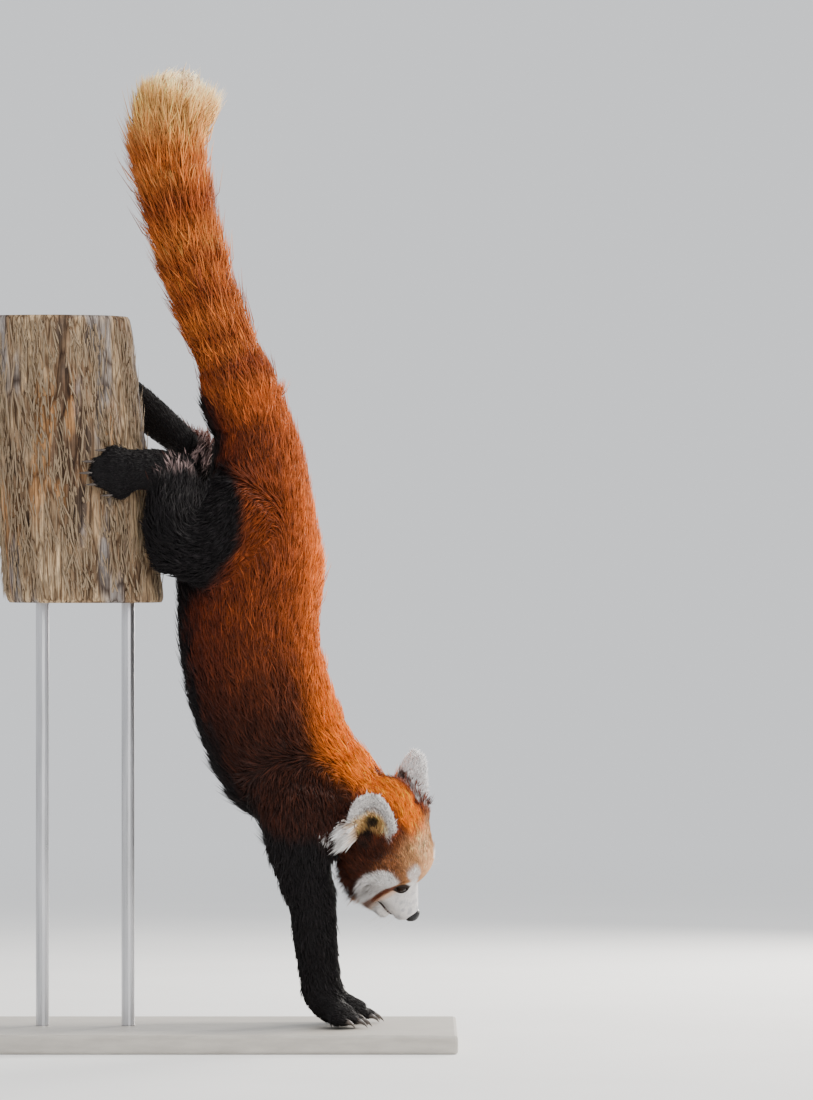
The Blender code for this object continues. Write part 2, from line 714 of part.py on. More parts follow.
def build_foot(name, side):
    """A hind foot that wraps round the trunk, sole to the bark."""
    clear = SOLE_CLEARANCE + TRUNK_RIDGE_DEPTH
    stations = []
    for i, (angle, z, width, thickness) in enumerate(FEET[side]):
        off = clear + thickness + HEEL_CLEARANCE * (1 - i / 3) ** 2
        stations.append((*on_trunk(angle, z, off, side), width, thickness))
    foot = loft(f"foot_{name}", stations, Vector((0, 0, 1)), HELPERS, segments=16, steps=2)
    angle, z, _, _ = FEET[side][-1]
    rise = (FEET[side][-1][1] - FEET[side][-2][1]) / 0.030
    toes = []
    for i, length in enumerate(TOE_LENGTHS):
        spread = i - 2
        height = z + spread * TOE_SPREAD * 0.95
        off = clear + TOE_RADIUS + 0.0008
        around = angle - 2.0 * spread**2
        start = on_trunk(around - 3, height, off, side)
        end = on_trunk(around + 12, height + rise * 0.012 + 0.0012 * spread, off - 0.0006, side)
        ahead = (end - start).normalized()
        inward = trunk_axis(height) - start
        inward.z = 0.0
        toes += toe(f"toe_{i}", start, ahead, inward.normalized(), length * HIND_TOE_SHARE, HELPERS)
    paw = fuse(f"foot_{name}", foot, toes, "black_fur")[1]
    cut_by(PARTS.objects[f"shank_{name}"], paw)
    remove(paw)


# Tail


def tail_row(share):
    """Centre and coat radius at a share of the tail's length."""
    rows = smooth_run([(x, 0.0, z, r) for x, z, r in TAIL], 8)
    place = share * (len(rows) - 1)
    low = min(int(place), len(rows) - 2)
    mix = place - low
    row = [a + (b - a) * mix for a, b in zip(rows[low], rows[low + 1])]
    return Vector(row[:3]), row[3]


def tail_frame(share):
    """A point on the tail's axis and the way to its tip."""
    step = 0.01
    ahead = tail_row(min(1.0, share + step))[0] - tail_row(max(0.0, share - step))[0]
    return tail_row(share)[0], ahead.normalized()


def core_radius(share):
    """The dense underfur reaches this far. Near the root it meets the rump's short coat."""
    radius = tail_row(share)[1]
    blend_in = math.exp(-(share / TAIL_CORE_BLEND) ** 2)
    return radius * TAIL_CORE_SHARE + (TAIL_ROOT_CORE - radius * TAIL_CORE_SHARE) * blend_in


def tail_point(share, turn, radius):
    centre, ahead = tail_frame(share)
    across = (SIDEWAYS - ahead * ahead.y).normalized()
    out = across * math.cos(turn) + ahead.cross(across) * math.sin(turn)
    return centre + out * radius, out


def build_tail():
    """The bushy tail: a core, and rings of locks that overlap towards the tip."""
    stations = []
    for share in TAIL_CORE_STATIONS:
        centre, _ = tail_frame(share)
        radius = core_radius(share)
        stations.append((*centre, radius, radius))
    tail = loft("tail", stations, SIDEWAYS, HELPERS, segments=TAIL_SIDES, steps=1)
    dice = random.Random(TAIL_SEED)
    locks = []
    for row in range(TAIL_LOCK_ROWS):
        start = TAIL_LOCKS_FROM + (TAIL_LOCKS_TO - TAIL_LOCKS_FROM) * row / (TAIL_LOCK_ROWS - 1)
        for k in range(TAIL_LOCKS_ROUND):
            turn = math.tau * (k + 0.5 * (row % 2)) / TAIL_LOCKS_ROUND + dice.uniform(-0.12, 0.12)
            locks.append(tail_lock(start, turn, dice))
    join_locks(tail, locks)
    root, ahead = tail_frame(0.0)
    frame = Matrix.Translation(root) @ ahead.to_track_quat("Z", "Y").to_matrix().to_4x4()
    below = block("below", (-0.2, -0.2, -0.2), (0.2, 0.2, GAP / 2), HELPERS, frame)
    boolean(tail, below, "DIFFERENCE")
    remove(below)
    return finish(tail, "tail", "tail")


def tail_lock(start, turn, dice):
    """A lock from the core at that share of the tail, out to the coat's outline."""
    length = TAIL_LOCK_LENGTH * dice.uniform(0.9, 1.12) / TAIL_LENGTH
    reach = dice.uniform(0.95, 1.02)
    sway = dice.uniform(-0.16, 0.16)
    points, flats = [], []
    for share in LOCK_STEPS:
        place = min(start + length * share, 0.995 - 0.012 * (1 - share))
        rise = math.sin(min(1.0, 1.2 * share) * math.pi / 2)
        inner = core_radius(place) * 0.72
        outer = tail_row(place)[1] * reach - TAIL_LOCK_THICKNESS * 0.32 * (1 - share)
        point, out = tail_point(place, turn + sway * share, inner + (outer - inner) * rise)
        points.append(point)
        flats.append(out)
    width = TAIL_LOCK_WIDTH * dice.uniform(0.9, 1.1)
    return lock_shape(points, flats, width, TAIL_LOCK_THICKNESS)


# Head


def head_frame():
    """Right, forward and up of the head as a matrix."""
    forward = NOSE_WARD.normalized()
    right = (RIGHT_WARD - forward * RIGHT_WARD.dot(forward)).normalized()
    up = right.cross(forward)
    turn = Matrix((right, forward, up)).transposed().to_4x4()
    return Matrix.Translation(HEAD_CENTRE) @ turn


def along_head(rows):
    """Stations of a tube down the middle of the head."""
    return [(0.0, y, z, half_width, half_height) for y, z, half_width, half_height in rows]


def in_frame(obj, frame):
    obj.data.transform(frame)
    return obj


def head_blank():
    """Skull, brow, cheeks, muzzle and lower jaw as one surface, in the head's own frame."""
    pieces = [ball("mass", centre, radii, HELPERS, segments=32) for centre, radii in HEAD_MASSES]
    right = Vector((1.0, 0.0, 0.0))
    pieces.append(loft("muzzle", along_head(MUZZLE), right, HELPERS, round_ends=0.55))
    pieces.append(loft("jaw", along_head(JAW), right, HELPERS))
    head = blend("head", pieces, HEAD_DRAFT_SKIN, HELPERS)
    eyes, lids = {}, []
    for name, side in SIDES:
        x, z = EYE_PLACE
        spot, _ = surface_at(head, Vector((-side * x, 0.2, z)), Vector((0, -1, 0)))
        out = Vector((-side * EYE_OUT.x, EYE_OUT.y, EYE_OUT.z)).normalized()
        orbit = ball("orbit", spot + out * (ORBIT_RADIUS - ORBIT_DEPTH), (ORBIT_RADIUS,) * 3, HELPERS)
        up, across, opening = ear_axes(side)
        turn = Matrix((across, up, opening)).transposed().to_4x4()
        root = ear_root(side) + opening * EAR_BOWL_OUT + up * EAR_BOWL_UP
        bowl = ball("bowl", (0, 0, 0), EAR_BOWL, HELPERS, frame=Matrix.Translation(root) @ turn)
        for cutter in (orbit, bowl):
            boolean(head, cutter, "DIFFERENCE")
        remove(orbit, bowl)
        centre = spot - out * EYE_SINK
        eyes[name] = (centre, out)
        lids.append(ball("lids", centre, (EYE_RADIUS + LID_THICKNESS,) * 3, HELPERS))
    return blend("head", [head, *lids], HEAD_SKIN, HELPERS), eyes


def lid_opening(centre, outward):
    """An almond-shaped cutter from the middle of the eyeball out between the lids."""
    level = Vector((0, 0, 1)).cross(outward).normalized()
    up = outward.cross(level)
    shape = bmesh.new()
    rings = []
    for depth in (0.0, EYE_RADIUS * 2.2):
        ring = []
        for k in range(LID_SIDES):
            turn = math.tau * k / LID_SIDES
            height = LID_HALF_HEIGHT * math.sin(turn) * abs(math.sin(turn)) ** 0.35
            spot = centre + level * LID_HALF_LENGTH * math.cos(turn) + up * height
            ring.append(shape.verts.new(spot + outward * depth))
        rings.append(ring)
    for k in range(LID_SIDES):
        n = (k + 1) % LID_SIDES
        shape.faces.new((rings[0][k], rings[0][n], rings[1][n], rings[1][k]))
    shape.faces.new(rings[0])
    shape.faces.new(rings[1])
    return to_object("opening", shape, HELPERS)


def ear_root(side):
    root = EARS[side][0].copy()
    root.x *= side
    return root


def surface_at(obj, origin, direction):
    """Where a ray from outside meets obj, and the way out there."""
    point, normal, _, _ = tree_of(obj).ray_cast(origin, direction)
    return point, normal


def tube_of(name, points, radius):
    """A round tube along points, as a closed mesh."""
    data = bpy.data.curves.new(name, "CURVE")
    data.dimensions = "3D"
    data.bevel_depth = radius
    data.bevel_resolution = 1
    data.use_fill_caps = True
    run = data.splines.new("POLY")
    run.points.add(len(points) - 1)
    for spot, point in zip(run.points, points):
        spot.co = (*point, 1.0)
    curve = bpy.data.objects.new(name, data)
    HELPERS.objects.link(curve)
    graph = bpy.context.evaluated_depsgraph_get()
    mesh = bpy.data.meshes.new_from_object(curve.evaluated_get(graph))
    bpy.data.objects.remove(curve)
    shape = bmesh.new()
    shape.from_mesh(mesh)
    bmesh.ops.remove_doubles(shape, verts=shape.verts, dist=0.00001)
    return to_object(name, shape, HELPERS)


def mouth_run():
    """The line between the lips, from one corner round under the nose to the other."""
    points = []
    for k in range(-6, 7):
        share = k / 6
        turn = share * math.pi / 2
        y = MOUTH_BACK + (MOUTH_FRONT - MOUTH_BACK) * math.cos(turn) ** 0.7
        droop = MOUTH_DROOP * (abs(share) ** 1.5)
        points.append(Vector((MOUTH_WIDTH * math.sin(turn), y, MOUTH_Z - droop)))
    return points


def onto_surface(obj, points, depth):
    """The points moved along the head onto its surface, then sunk by a depth."""
    middle = Vector((0.0, 0.045, MOUTH_Z + 0.004))
    moved = []
    for point in points:
        aim = (middle - point).normalized()
        spot, _ = surface_at(obj, point - aim * 0.05, aim)
        moved.append(spot + aim * depth)
    for _ in range(2):
        inner = [(a + b * 2 + c) / 4 for a, b, c in zip(moved, moved[1:], moved[2:])]
        moved = [moved[0], *inner, moved[-1]]
    return moved


def tree_of(obj):
    """A search tree of obj's surface."""
    return BVHTree.FromPolygons(
        [vertex.co for vertex in obj.data.vertices],
        [list(face.vertices) for face in obj.data.polygons],
    )


def laid_lock(tree, root, way, length, lifts, width, thickness):
    """A lock that starts below the surface at root and follows it along way, at a lift a step."""
    spot, out, _, _ = tree.find_nearest(root)
    points, flats = [spot - out * LOCK_ROOT], [out]
    for lift in lifts:
        along = (way - out * way.dot(out)).normalized()
        spot, out, _, _ = tree.find_nearest(spot + along * length / len(lifts))
        points.append(spot + out * lift)
        flats.append(out)
    return lock_shape(points, flats, width, thickness)


def cheek_locks(tree, side, dice):
    """The ruff: locks that lie back and down along the side of the face."""
    locks = []
    for k in range(CHEEK_LOCKS):
        share = k / (CHEEK_LOCKS - 1)
        angle = math.radians(CHEEK_FROM + (CHEEK_TO - CHEEK_FROM) * share)
        y = CHEEK_Y - CHEEK_STEP * (k % 2)
        ray = Vector((side * math.cos(angle), 0.0, math.sin(angle)))
        root, _, _, _ = tree.ray_cast(Vector((0.0, y, CHEEK_Z)) + ray * 0.12, -ray)
        way = Vector((side * 0.1, -1.0, -0.35 + 0.3 * share))
        length = CHEEK_LOCK_LENGTH * dice.uniform(0.9, 1.1)
        width = CHEEK_LOCK_WIDTH * dice.uniform(0.9, 1.1)
        locks.append(laid_lock(tree, root, way, length, CHEEK_LIFTS, width, CHEEK_LOCK_THICKNESS))
    return locks


def build_head(body_skin):
    """The head with lids, lips and mouth line, and its eyes and nose. Returns its bare surface."""
    head, eyes = head_blank()
    bare = tree_of(head)
    frame = head_frame()
    skin = in_frame(copied(head), frame)
    dice = random.Random(CHEEK_SEED)
    line = mouth_run()
    lips = tube_of("lips", onto_surface(head, line, LIP_SINK), LIP_RADIUS)
    slot = tube_of("slot", onto_surface(head, line, -LIP_SINK), MOUTH_SLOT)
    boolean(head, lips, "UNION")
    boolean(head, slot, "DIFFERENCE")
    for centre, out in eyes.values():
        socket = ball("socket", centre, (EYE_RADIUS + GAP,) * 3, HELPERS, segments=16)
        opening = lid_opening(centre, out)
        for cutter in (socket, opening):
            boolean(head, cutter, "DIFFERENCE")
        remove(socket, opening)
    remove(lips, slot)
    nose = ball("nose", NOSE_CENTRE, NOSE_RADII, HELPERS, segments=14)
    cut_by(head, nose)
    for side in (-1, 1):
        spot = (side * NOSTRIL_X, NOSE_CENTRE[1] + NOSE_RADII[1] * 0.9, NOSE_CENTRE[2] - 0.0012)
        hole = ball("nostril", spot, (NOSTRIL_RADIUS, 0.0030, NOSTRIL_RADIUS * 0.8), HELPERS, segments=8)
        boolean(nose, hole, "DIFFERENCE")
        remove(hole)
    near_skin = in_frame(copied(body_skin), frame.inverted())
    join_locks(head, cheek_locks(bare, 1, dice) + cheek_locks(bare, -1, dice), near_skin)
    remove(near_skin)
    for name, (centre, _) in eyes.items():
        eye = ball("eye", centre, (EYE_RADIUS,) * 3, HELPERS, segments=12)
        finish(in_frame(eye, frame), f"eye_{name}", "eye")
    finish(in_frame(nose, frame), "nose", "nose")
    finish(in_frame(head, frame), "head", "face")
    for neighbour in HEAD_NEIGHBOURS:
        cut_by(PARTS.objects[neighbour], skin, gap=1.5 * GAP)
    return skin


def ear_axes(side):
    """The ear's way up, its width and the way that its cup opens, in the head's frame."""
    _, up, opening = (Vector((side * way.x, way.y, way.z)) for way in EARS[side])
    up.normalize()
    opening = (opening - up * opening.dot(up)).normalized()
    return up, up.cross(opening), opening


def build_ear(name, side, skins):
    """A rounded, cupped ear with the long locks that hang out of its lower edge."""
    up, across, opening = ear_axes(side)
    root = ear_root(side)
    shape = bmesh.new()
    grid = []
    for j in range(EAR_ROWS):
        share = j / (EAR_ROWS - 1)
        rise = -EAR_SINK + (EAR_LENGTH + EAR_SINK) * share
        v = max(rise / EAR_LENGTH, 0.0)
        half = EAR_HALF_WIDTH * math.sqrt(max(1 - v**2.3, 0.0)) + EAR_EDGE
        line = []
        for i in range(EAR_COLUMNS + 1):
            u = 2 * i / EAR_COLUMNS - 1
            back = EAR_CUP * (1 - u * u) * (1 - 0.85 * v**2)
            spot = root + up * rise + across * u * half - opening * (back - EAR_LEAN * v)
            line.append(shape.verts.new(spot))
        grid.append(line)
    for low, high in zip(grid, grid[1:]):
        for i in range(EAR_COLUMNS):
            shape.faces.new((low[i], low[i + 1], high[i + 1], high[i]))
    ear = to_object("ear", shape, HELPERS)
    shell = ear.modifiers.new("shell", "SOLIDIFY")
    shell.thickness, shell.offset = EAR_THICKNESS, 0.0
    shell.use_even_offset = False
    ear = blend("ear", [apply_modifiers(ear)], EAR_SKIN, HELPERS)
    dice = random.Random(EAR_SEED)
    join_locks(ear, [ear_tuft(k, side, root, dice) for k in range(EAR_TUFTS)])
    in_frame(ear, head_frame())
    return finish(cut_by(ear, *skins), f"ear_{name}", "ear")


def ear_tuft(k, side, root, dice):
    """One long lock from inside the ear's lower edge, hanging over the cheek."""
    up, across, opening = ear_axes(side)
    share = k / (EAR_TUFTS - 1)
    low = -side * across
    start = root + up * (0.008 + 0.022 * share) + low * (-0.006 + 0.010 * share) - opening * 0.010
    down = (Vector((side * 0.55, 0.10, -0.75)) + up * 0.25 * share).normalized()
    length = EAR_TUFT_LENGTH * dice.uniform(0.85, 1.1)
    points = [start + (down * t + opening * 0.16 * math.sin(t * 2.6)) * length for t in TUFT_STEPS]
    return lock_shape(points, [opening] * 4, EAR_TUFT_WIDTH, EAR_TUFT_THICKNESS)


# Stand and trunk


def build_stand():
    """The base, and the rods up to the trunk."""
    half_length, half_width = BASE_LENGTH / 2, BASE_WIDTH / 2
    low, high = (-half_length, -half_width, 0), (half_length, half_width, BASE_HEIGHT)
    base = block("stand_base", low, high, HELPERS)
    edge = base.modifiers.new("edge", "BEVEL")
    edge.width, edge.segments = BASE_BEVEL, BASE_BEVEL_STEPS
    finish(apply_modifiers(base), "stand_base", "base")
    middle = trunk_axis(TRUNK_LOW).x
    for name, side in (("back", -1), ("front", 1)):
        bottom, top = BASE_HEIGHT + GAP, TRUNK_LOW - GAP
        shape = bmesh.new()
        ends = {"radius1": ROD_RADIUS, "radius2": ROD_RADIUS, "depth": top - bottom}
        bmesh.ops.create_cone(shape, cap_ends=True, segments=ROD_SIDES, **ends)
        shape.transform(Matrix.Translation((middle + side * ROD_SPACING / 2, 0, (bottom + top) / 2)))
        finish(to_object("rod", shape, HELPERS), f"stand_rod_{name}", "rod")


def build_trunk():
    """A cut length of fibrous bark, ridged along its length, with level sawn ends."""
    shape = bmesh.new()
    rings = []
    for j in range(TRUNK_LEVELS):
        share = j / (TRUNK_LEVELS - 1)
        z = TRUNK_LOW + (TRUNK_HIGH - TRUNK_LOW) * share
        centre = trunk_axis(z)
        ring = []
        for k in range(TRUNK_SIDES):
            turn = math.tau * k / TRUNK_SIDES
            coarse = math.sin(TRUNK_RIDGES * turn + TRUNK_TWIST * share)
            fine = math.sin(TRUNK_FINE_RIDGES * turn + TRUNK_FINE_TWIST * share)
            wave = coarse + 0.5 * fine
            radius = TRUNK_RADIUS + TRUNK_RIDGE_DEPTH * 0.6 * wave
            ring.append(shape.verts.new(centre + Vector((math.cos(turn), math.sin(turn), 0)) * radius))
        rings.append(ring)
    for low, high in zip(rings, rings[1:]):
        for k in range(TRUNK_SIDES):
            j = (k + 1) % TRUNK_SIDES
            shape.faces.new((low[k], low[j], high[j]))
            shape.faces.new((low[k], high[j], high[k]))
    shape.faces.new(rings[0])
    shape.faces.new(rings[-1])
    finish(to_object("trunk", shape, HELPERS), "perch_trunk", "bark")


def main():
    build_stand()
    build_trunk()
    body_skin = build_body()
    for name, side in SIDES:
        build_hand(name, side)
        build_foot(name, side)
    build_tail()
    skins = (build_head(body_skin), body_skin)
    for name, side in SIDES:
        build_ear(name, -side, skins)
    remove(*skins)
    for obj in list(HELPERS.objects):
        obj.hide_render = True
        obj.display_type = "WIRE"


clear_scene()
PARTS = collection("red_panda")
HELPERS = collection("cutters")
MATERIALS = {name: material(name) for name in COLOURS}
main()
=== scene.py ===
"""Looks of the red panda: one skin with a coat of solid tufts, eyes, nose, claws, bark and stand."""

import json
import math

import bmesh
import bpy
import numpy as np
from mathutils import Matrix, Vector
from mathutils.bvhtree import BVHTree
from mathutils.kdtree import KDTree

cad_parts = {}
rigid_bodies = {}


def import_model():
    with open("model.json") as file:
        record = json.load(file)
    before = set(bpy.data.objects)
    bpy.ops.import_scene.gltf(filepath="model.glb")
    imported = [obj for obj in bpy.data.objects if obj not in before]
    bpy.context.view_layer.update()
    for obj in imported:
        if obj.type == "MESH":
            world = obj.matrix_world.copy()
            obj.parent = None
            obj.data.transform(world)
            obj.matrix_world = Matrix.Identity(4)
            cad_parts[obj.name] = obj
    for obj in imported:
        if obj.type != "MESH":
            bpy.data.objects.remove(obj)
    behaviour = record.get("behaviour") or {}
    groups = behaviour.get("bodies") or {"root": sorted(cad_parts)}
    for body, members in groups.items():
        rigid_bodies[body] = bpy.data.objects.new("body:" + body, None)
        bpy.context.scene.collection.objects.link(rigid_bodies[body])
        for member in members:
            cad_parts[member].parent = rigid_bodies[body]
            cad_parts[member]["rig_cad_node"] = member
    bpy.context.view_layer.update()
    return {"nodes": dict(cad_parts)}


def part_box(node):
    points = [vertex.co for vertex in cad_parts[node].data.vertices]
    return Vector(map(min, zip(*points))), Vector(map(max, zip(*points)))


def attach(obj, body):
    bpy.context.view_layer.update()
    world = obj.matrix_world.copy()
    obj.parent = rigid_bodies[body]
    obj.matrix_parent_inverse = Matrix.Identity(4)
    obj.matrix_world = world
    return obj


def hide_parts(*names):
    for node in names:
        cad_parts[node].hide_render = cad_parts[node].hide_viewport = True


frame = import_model()
NODES = frame["nodes"]
RNG = np.random.default_rng(5)
SIDES = (("right", -1), ("left", 1))

# Sizes that the solids have too, in metres
BASE_HEIGHT = 0.020
TRUNK_RADIUS, TRUNK_LOW, TRUNK_HIGH = 0.083, 0.465, 0.765
TRUNK_MIDDLE_X, TRUNK_MIDDLE_Z, TRUNK_LEAN = -0.1375, 0.603, -0.12
TRUNK_RIDGES, TRUNK_RIDGE_DEPTH = 9, 0.0022
TAIL = np.array(
    (
        (0.044, 0.677, 0.048),
        (0.026, 0.730, 0.044),
        (0.006, 0.782, 0.041),
        (-0.011, 0.835, 0.042),
        (-0.024, 0.887, 0.044),
        (-0.033, 0.940, 0.046),
        (-0.026, 0.985, 0.045),
        (-0.018, 1.012, 0.036),
        (-0.013, 1.030, 0.012),
    )
)
SPINE = np.array(
    (
        (0.044, 0.0, 0.690),
        (0.059, 0.0, 0.632),
        (0.061, 0.0, 0.572),
        (0.054, 0.0, 0.509),
        (0.052, 0.0, 0.425),
        (0.066, 0.0, 0.360),
        (0.096, 0.0, 0.296),
        (0.144, 0.0, 0.256),
        (0.182, 0.0, 0.236),
    )
)
ARM = ((0.106, 0.048, 0.262), (0.110, 0.050, 0.180), (0.121, 0.046, 0.112), (0.131, 0.043, 0.040))
LEGS = {
    -1: ((0.058, 0.034, 0.578), (0.008, 0.060, 0.526), (-0.030, 0.074, 0.540), (-0.020, 0.062, 0.600)),
    1: ((0.058, 0.034, 0.578), (0.010, 0.064, 0.544), (-0.016, 0.072, 0.570), (0.000, 0.054, 0.634)),
}
FEET = {
    -1: ((20.0, 0.603), (35.0, 0.605), (50.0, 0.603), (63.0, 0.601)),
    1: ((18.0, 0.630), (32.0, 0.656), (48.0, 0.680), (61.0, 0.694)),
}
TOE_RADIUS, TOE_SPREAD = 0.0085, 0.0112
TOE_LENGTHS = (0.018, 0.025, 0.028, 0.026, 0.020)
CLAW_LENGTH, CLAW_BEND = 0.016, 62.0
HAND_REACH = {-1: 0.0, 1: 0.012}

HEAD_CENTRE = Vector((0.193, -0.004, 0.214))
NOSE_WARD, RIGHT_WARD = Vector((0.45, 0.25, -0.86)), Vector((-0.46, -0.76, -0.46))
HEAD_MASSES = (
    ((0.0, -0.006, 0.003), (0.057, 0.058, 0.051)),
    ((0.0, -0.030, 0.016), (0.050, 0.040, 0.038)),
    ((0.0, -0.008, 0.020), (0.058, 0.036, 0.034)),
    ((0.0, 0.018, 0.010), (0.046, 0.038, 0.038)),
    ((0.0, 0.002, -0.010), (0.062, 0.038, 0.033)),
    ((0.0, 0.036, -0.017), (0.035, 0.027, 0.024)),
)
MUZZLE = (
    (0.022, -0.009, 0.036, 0.030),
    (0.046, -0.0120, 0.0275, 0.0265),
    (0.066, -0.0155, 0.0215, 0.0215),
    (0.0815, -0.0180, 0.0165, 0.0165),
)
JAW = (
    (0.010, -0.036, 0.031, 0.020),
    (0.040, -0.0410, 0.0250, 0.0150),
    (0.062, -0.0435, 0.0190, 0.0120),
    (0.0780, -0.0425, 0.0125, 0.0090),
)
EYE_PLACE, EYE_OUT, EYE_RADIUS = (0.0240, 0.0110), Vector((0.78, 0.53, 0.33)), 0.0078
ORBIT_RADIUS, ORBIT_DEPTH, LID_THICKNESS = 0.0170, 0.0030, 0.0015
LID_HALF_LENGTH, LID_HALF_HEIGHT, LID_TILT = 0.0070, 0.0054, 12.0
NOSE_CENTRE, NOSE_RADII = Vector((0.0, 0.0885, -0.0125)), (0.0098, 0.0066, 0.0070)
MOUTH_WIDTH, MOUTH_FRONT, MOUTH_BACK, MOUTH_Z, MOUTH_DROOP = 0.0185, 0.0800, 0.0540, -0.0340, 0.0030
EAR_LENGTH, EAR_HALF_WIDTH, EAR_CUP, EAR_SINK = 0.0500, 0.0225, 0.017, 0.022
EAR_BOWL, EAR_BOWL_OUT, EAR_BOWL_UP, EAR_HOLE = (0.0140, 0.0170, 0.0135), 0.0040, 0.0080, (-0.0016, 0.0028)
LOCK_MIDDLE, LOCK_WAY = (-0.0175, -0.0030), (0.90, 0.03, -0.46)
RUFF_WAY, RUFF_MIDDLE_Z = (0.90, 0.15, -0.40), -0.012
EARS = {
    1: (Vector((0.043, -0.030, 0.026)), Vector((0.10, -0.78, 0.58)), Vector((0.86, 0.38, 0.02))),
    -1: (Vector((0.046, -0.022, 0.022)), Vector((0.15, -0.80, 0.50)), Vector((0.80, 0.42, 0.28))),
}

# How deep the coat is over each solid
COAT_DEPTH = {
    "neck": 0.0085,
    "chest": 0.0105,
    "belly": 0.0110,
    "rump": 0.0100,
    "thigh": 0.0085,
    "shank": 0.0060,
    "foot": 0.0026,
    "upper_arm": 0.0080,
    "forearm": 0.0058,
    "hand": 0.0024,
    "head": 0.0070,
}
TAIL_CORE_SHARE, TAIL_CORE_END = 0.50, 50
PALE_ROOT = 0.75  # pale hair is lit through to its roots
BACKDROP, BACKDROP_LIGHT = (0.91, 0.93, 0.96), 1.00


# Mesh helpers


def new_object(name, mesh):
    obj = bpy.data.objects.new(name, mesh)
    bpy.context.scene.collection.objects.link(obj)
    return obj


def mesh_of(name, vertices, faces):
    """An object from an array of vertices and a list of faces."""
    mesh = bpy.data.meshes.new(name)
    mesh.from_pydata([tuple(map(float, v)) for v in vertices], [], [tuple(map(int, f)) for f in faces])
    mesh.update()
    return new_object(name, mesh)


def applied(obj):
    graph = bpy.context.evaluated_depsgraph_get()
    mesh = bpy.data.meshes.new_from_object(obj.evaluated_get(graph))
    obj.modifiers.clear()
    obj.data = mesh
    return obj


def coordinates(obj):
    spots = np.empty(len(obj.data.vertices) * 3, np.float32)
    obj.data.vertices.foreach_get("co", spots)
    return spots.reshape(-1, 3).astype(float)


def normals_of(obj):
    ways = np.empty(len(obj.data.vertices) * 3, np.float32)
    obj.data.vertices.foreach_get("normal", ways)
    return ways.reshape(-1, 3).astype(float)


def move_to(obj, spots):
    obj.data.vertices.foreach_set("co", spots.astype(np.float32).ravel())
    obj.data.update()


def joined(name, objects):
    """Copies the meshes of all the objects into one, and removes those that aren't CAD nodes."""
    shape = bmesh.new()
    for obj in objects:
        shape.from_mesh(obj.data)
    mesh = bpy.data.meshes.new(name)
    shape.to_mesh(mesh)
    shape.free()
    for obj in objects:
        if "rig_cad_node" not in obj:
            bpy.data.objects.remove(obj)
    return new_object(name, mesh)


def remeshed(obj, voxel, smoothing):
    remesh = obj.modifiers.new("remesh", "REMESH")
    remesh.mode = "VOXEL"
    remesh.voxel_size = voxel
    smooth = obj.modifiers.new("smooth", "SMOOTH")
    smooth.factor, smooth.iterations = 0.5, smoothing
    return largest(applied(obj))


def largest(obj):
    """Keeps the piece of the mesh with the most faces."""
    shape = bmesh.new()
    shape.from_mesh(obj.data)
    left, best = set(shape.faces), []
    while left:
        front = [left.pop()]
        found = []
        while front:
            face = front.pop()
            found.append(face)
            for edge in face.edges:
                for other in edge.link_faces:
                    if other in left:
                        left.discard(other)
                        front.append(other)
        if len(found) > len(best):
            best = found
    kept = set(best)
    if len(kept) < len(shape.faces):
        bmesh.ops.delete(shape, geom=[face for face in shape.faces if face not in kept], context="FACES")
        loose = [vertex for vertex in shape.verts if not vertex.link_faces]
        bmesh.ops.delete(shape, geom=loose, context="VERTS")
    shape.to_mesh(obj.data)
    shape.free()
    return obj


def boolean(obj, other, operation):
    modifier = obj.modifiers.new(operation, "BOOLEAN")
    modifier.operation, modifier.object, modifier.solver = operation, other, "MANIFOLD"
    applied(obj)
    bpy.data.objects.remove(other)
    return obj


def smooth_run(rows, steps):
    """A Catmull-Rom curve through rows of numbers."""
    rows = np.asarray(rows, float)
    ends = np.vstack((2 * rows[0] - rows[1], rows, 2 * rows[-1] - rows[-2]))
    out = []
    for i in range(1, len(ends) - 2):
        a, b, c, d = ends[i - 1 : i + 3]
        for k in range(steps):
            t = k / steps
            out.append(
                0.5 * (2 * b + (c - a) * t + (2 * a - 5 * b + 4 * c - d) * t**2 + (3 * b - a - 3 * c + d) * t**3)
            )
    out.append(rows[-1])
    return np.array(out)


def tube(name, path, across, widths, heights, segments=24, dome=0.7):
    """A closed tube along the path, oval in section: widths run along across, heights square to it."""
    path = np.asarray(path, float)
    across = np.broadcast_to(np.asarray(across, float), path.shape)
    ahead = np.gradient(path, axis=0)
    ahead /= np.linalg.norm(ahead, axis=1)[:, None]
    side = across - ahead * (across * ahead).sum(1)[:, None]
    side /= np.linalg.norm(side, axis=1)[:, None]
    up = np.cross(side, ahead)
    turns = np.linspace(0, math.tau, segments, endpoint=False)
    rings = []

    def ring(i, shift, scale):
        centre = path[i] + ahead[i] * shift
        rings.append(
            centre
            + scale * widths[i] * np.outer(np.cos(turns), side[i])
            + scale * heights[i] * np.outer(np.sin(turns), up[i])
        )

    for degrees in (80, 60, 40, 20):
        turn = math.radians(degrees)
        ring(0, -math.sin(turn) * heights[0] * dome, math.cos(turn))
    for i in range(len(path)):
        ring(i, 0.0, 1.0)
    for degrees in (20, 40, 60, 80):
        turn = math.radians(degrees)
        ring(len(path) - 1, math.sin(turn) * heights[-1] * dome, math.cos(turn))
    faces = []
    for j in range(len(rings) - 1):
        for k in range(segments):
            n = (k + 1) % segments
            faces.append((j * segments + k, j * segments + n, (j + 1) * segments + n, (j + 1) * segments + k))
    faces.append(tuple(range(segments))[::-1])
    faces.append(tuple(range((len(rings) - 1) * segments, len(rings) * segments)))
    obj = mesh_of(name, np.vstack(rings), faces)
    return outward(obj)


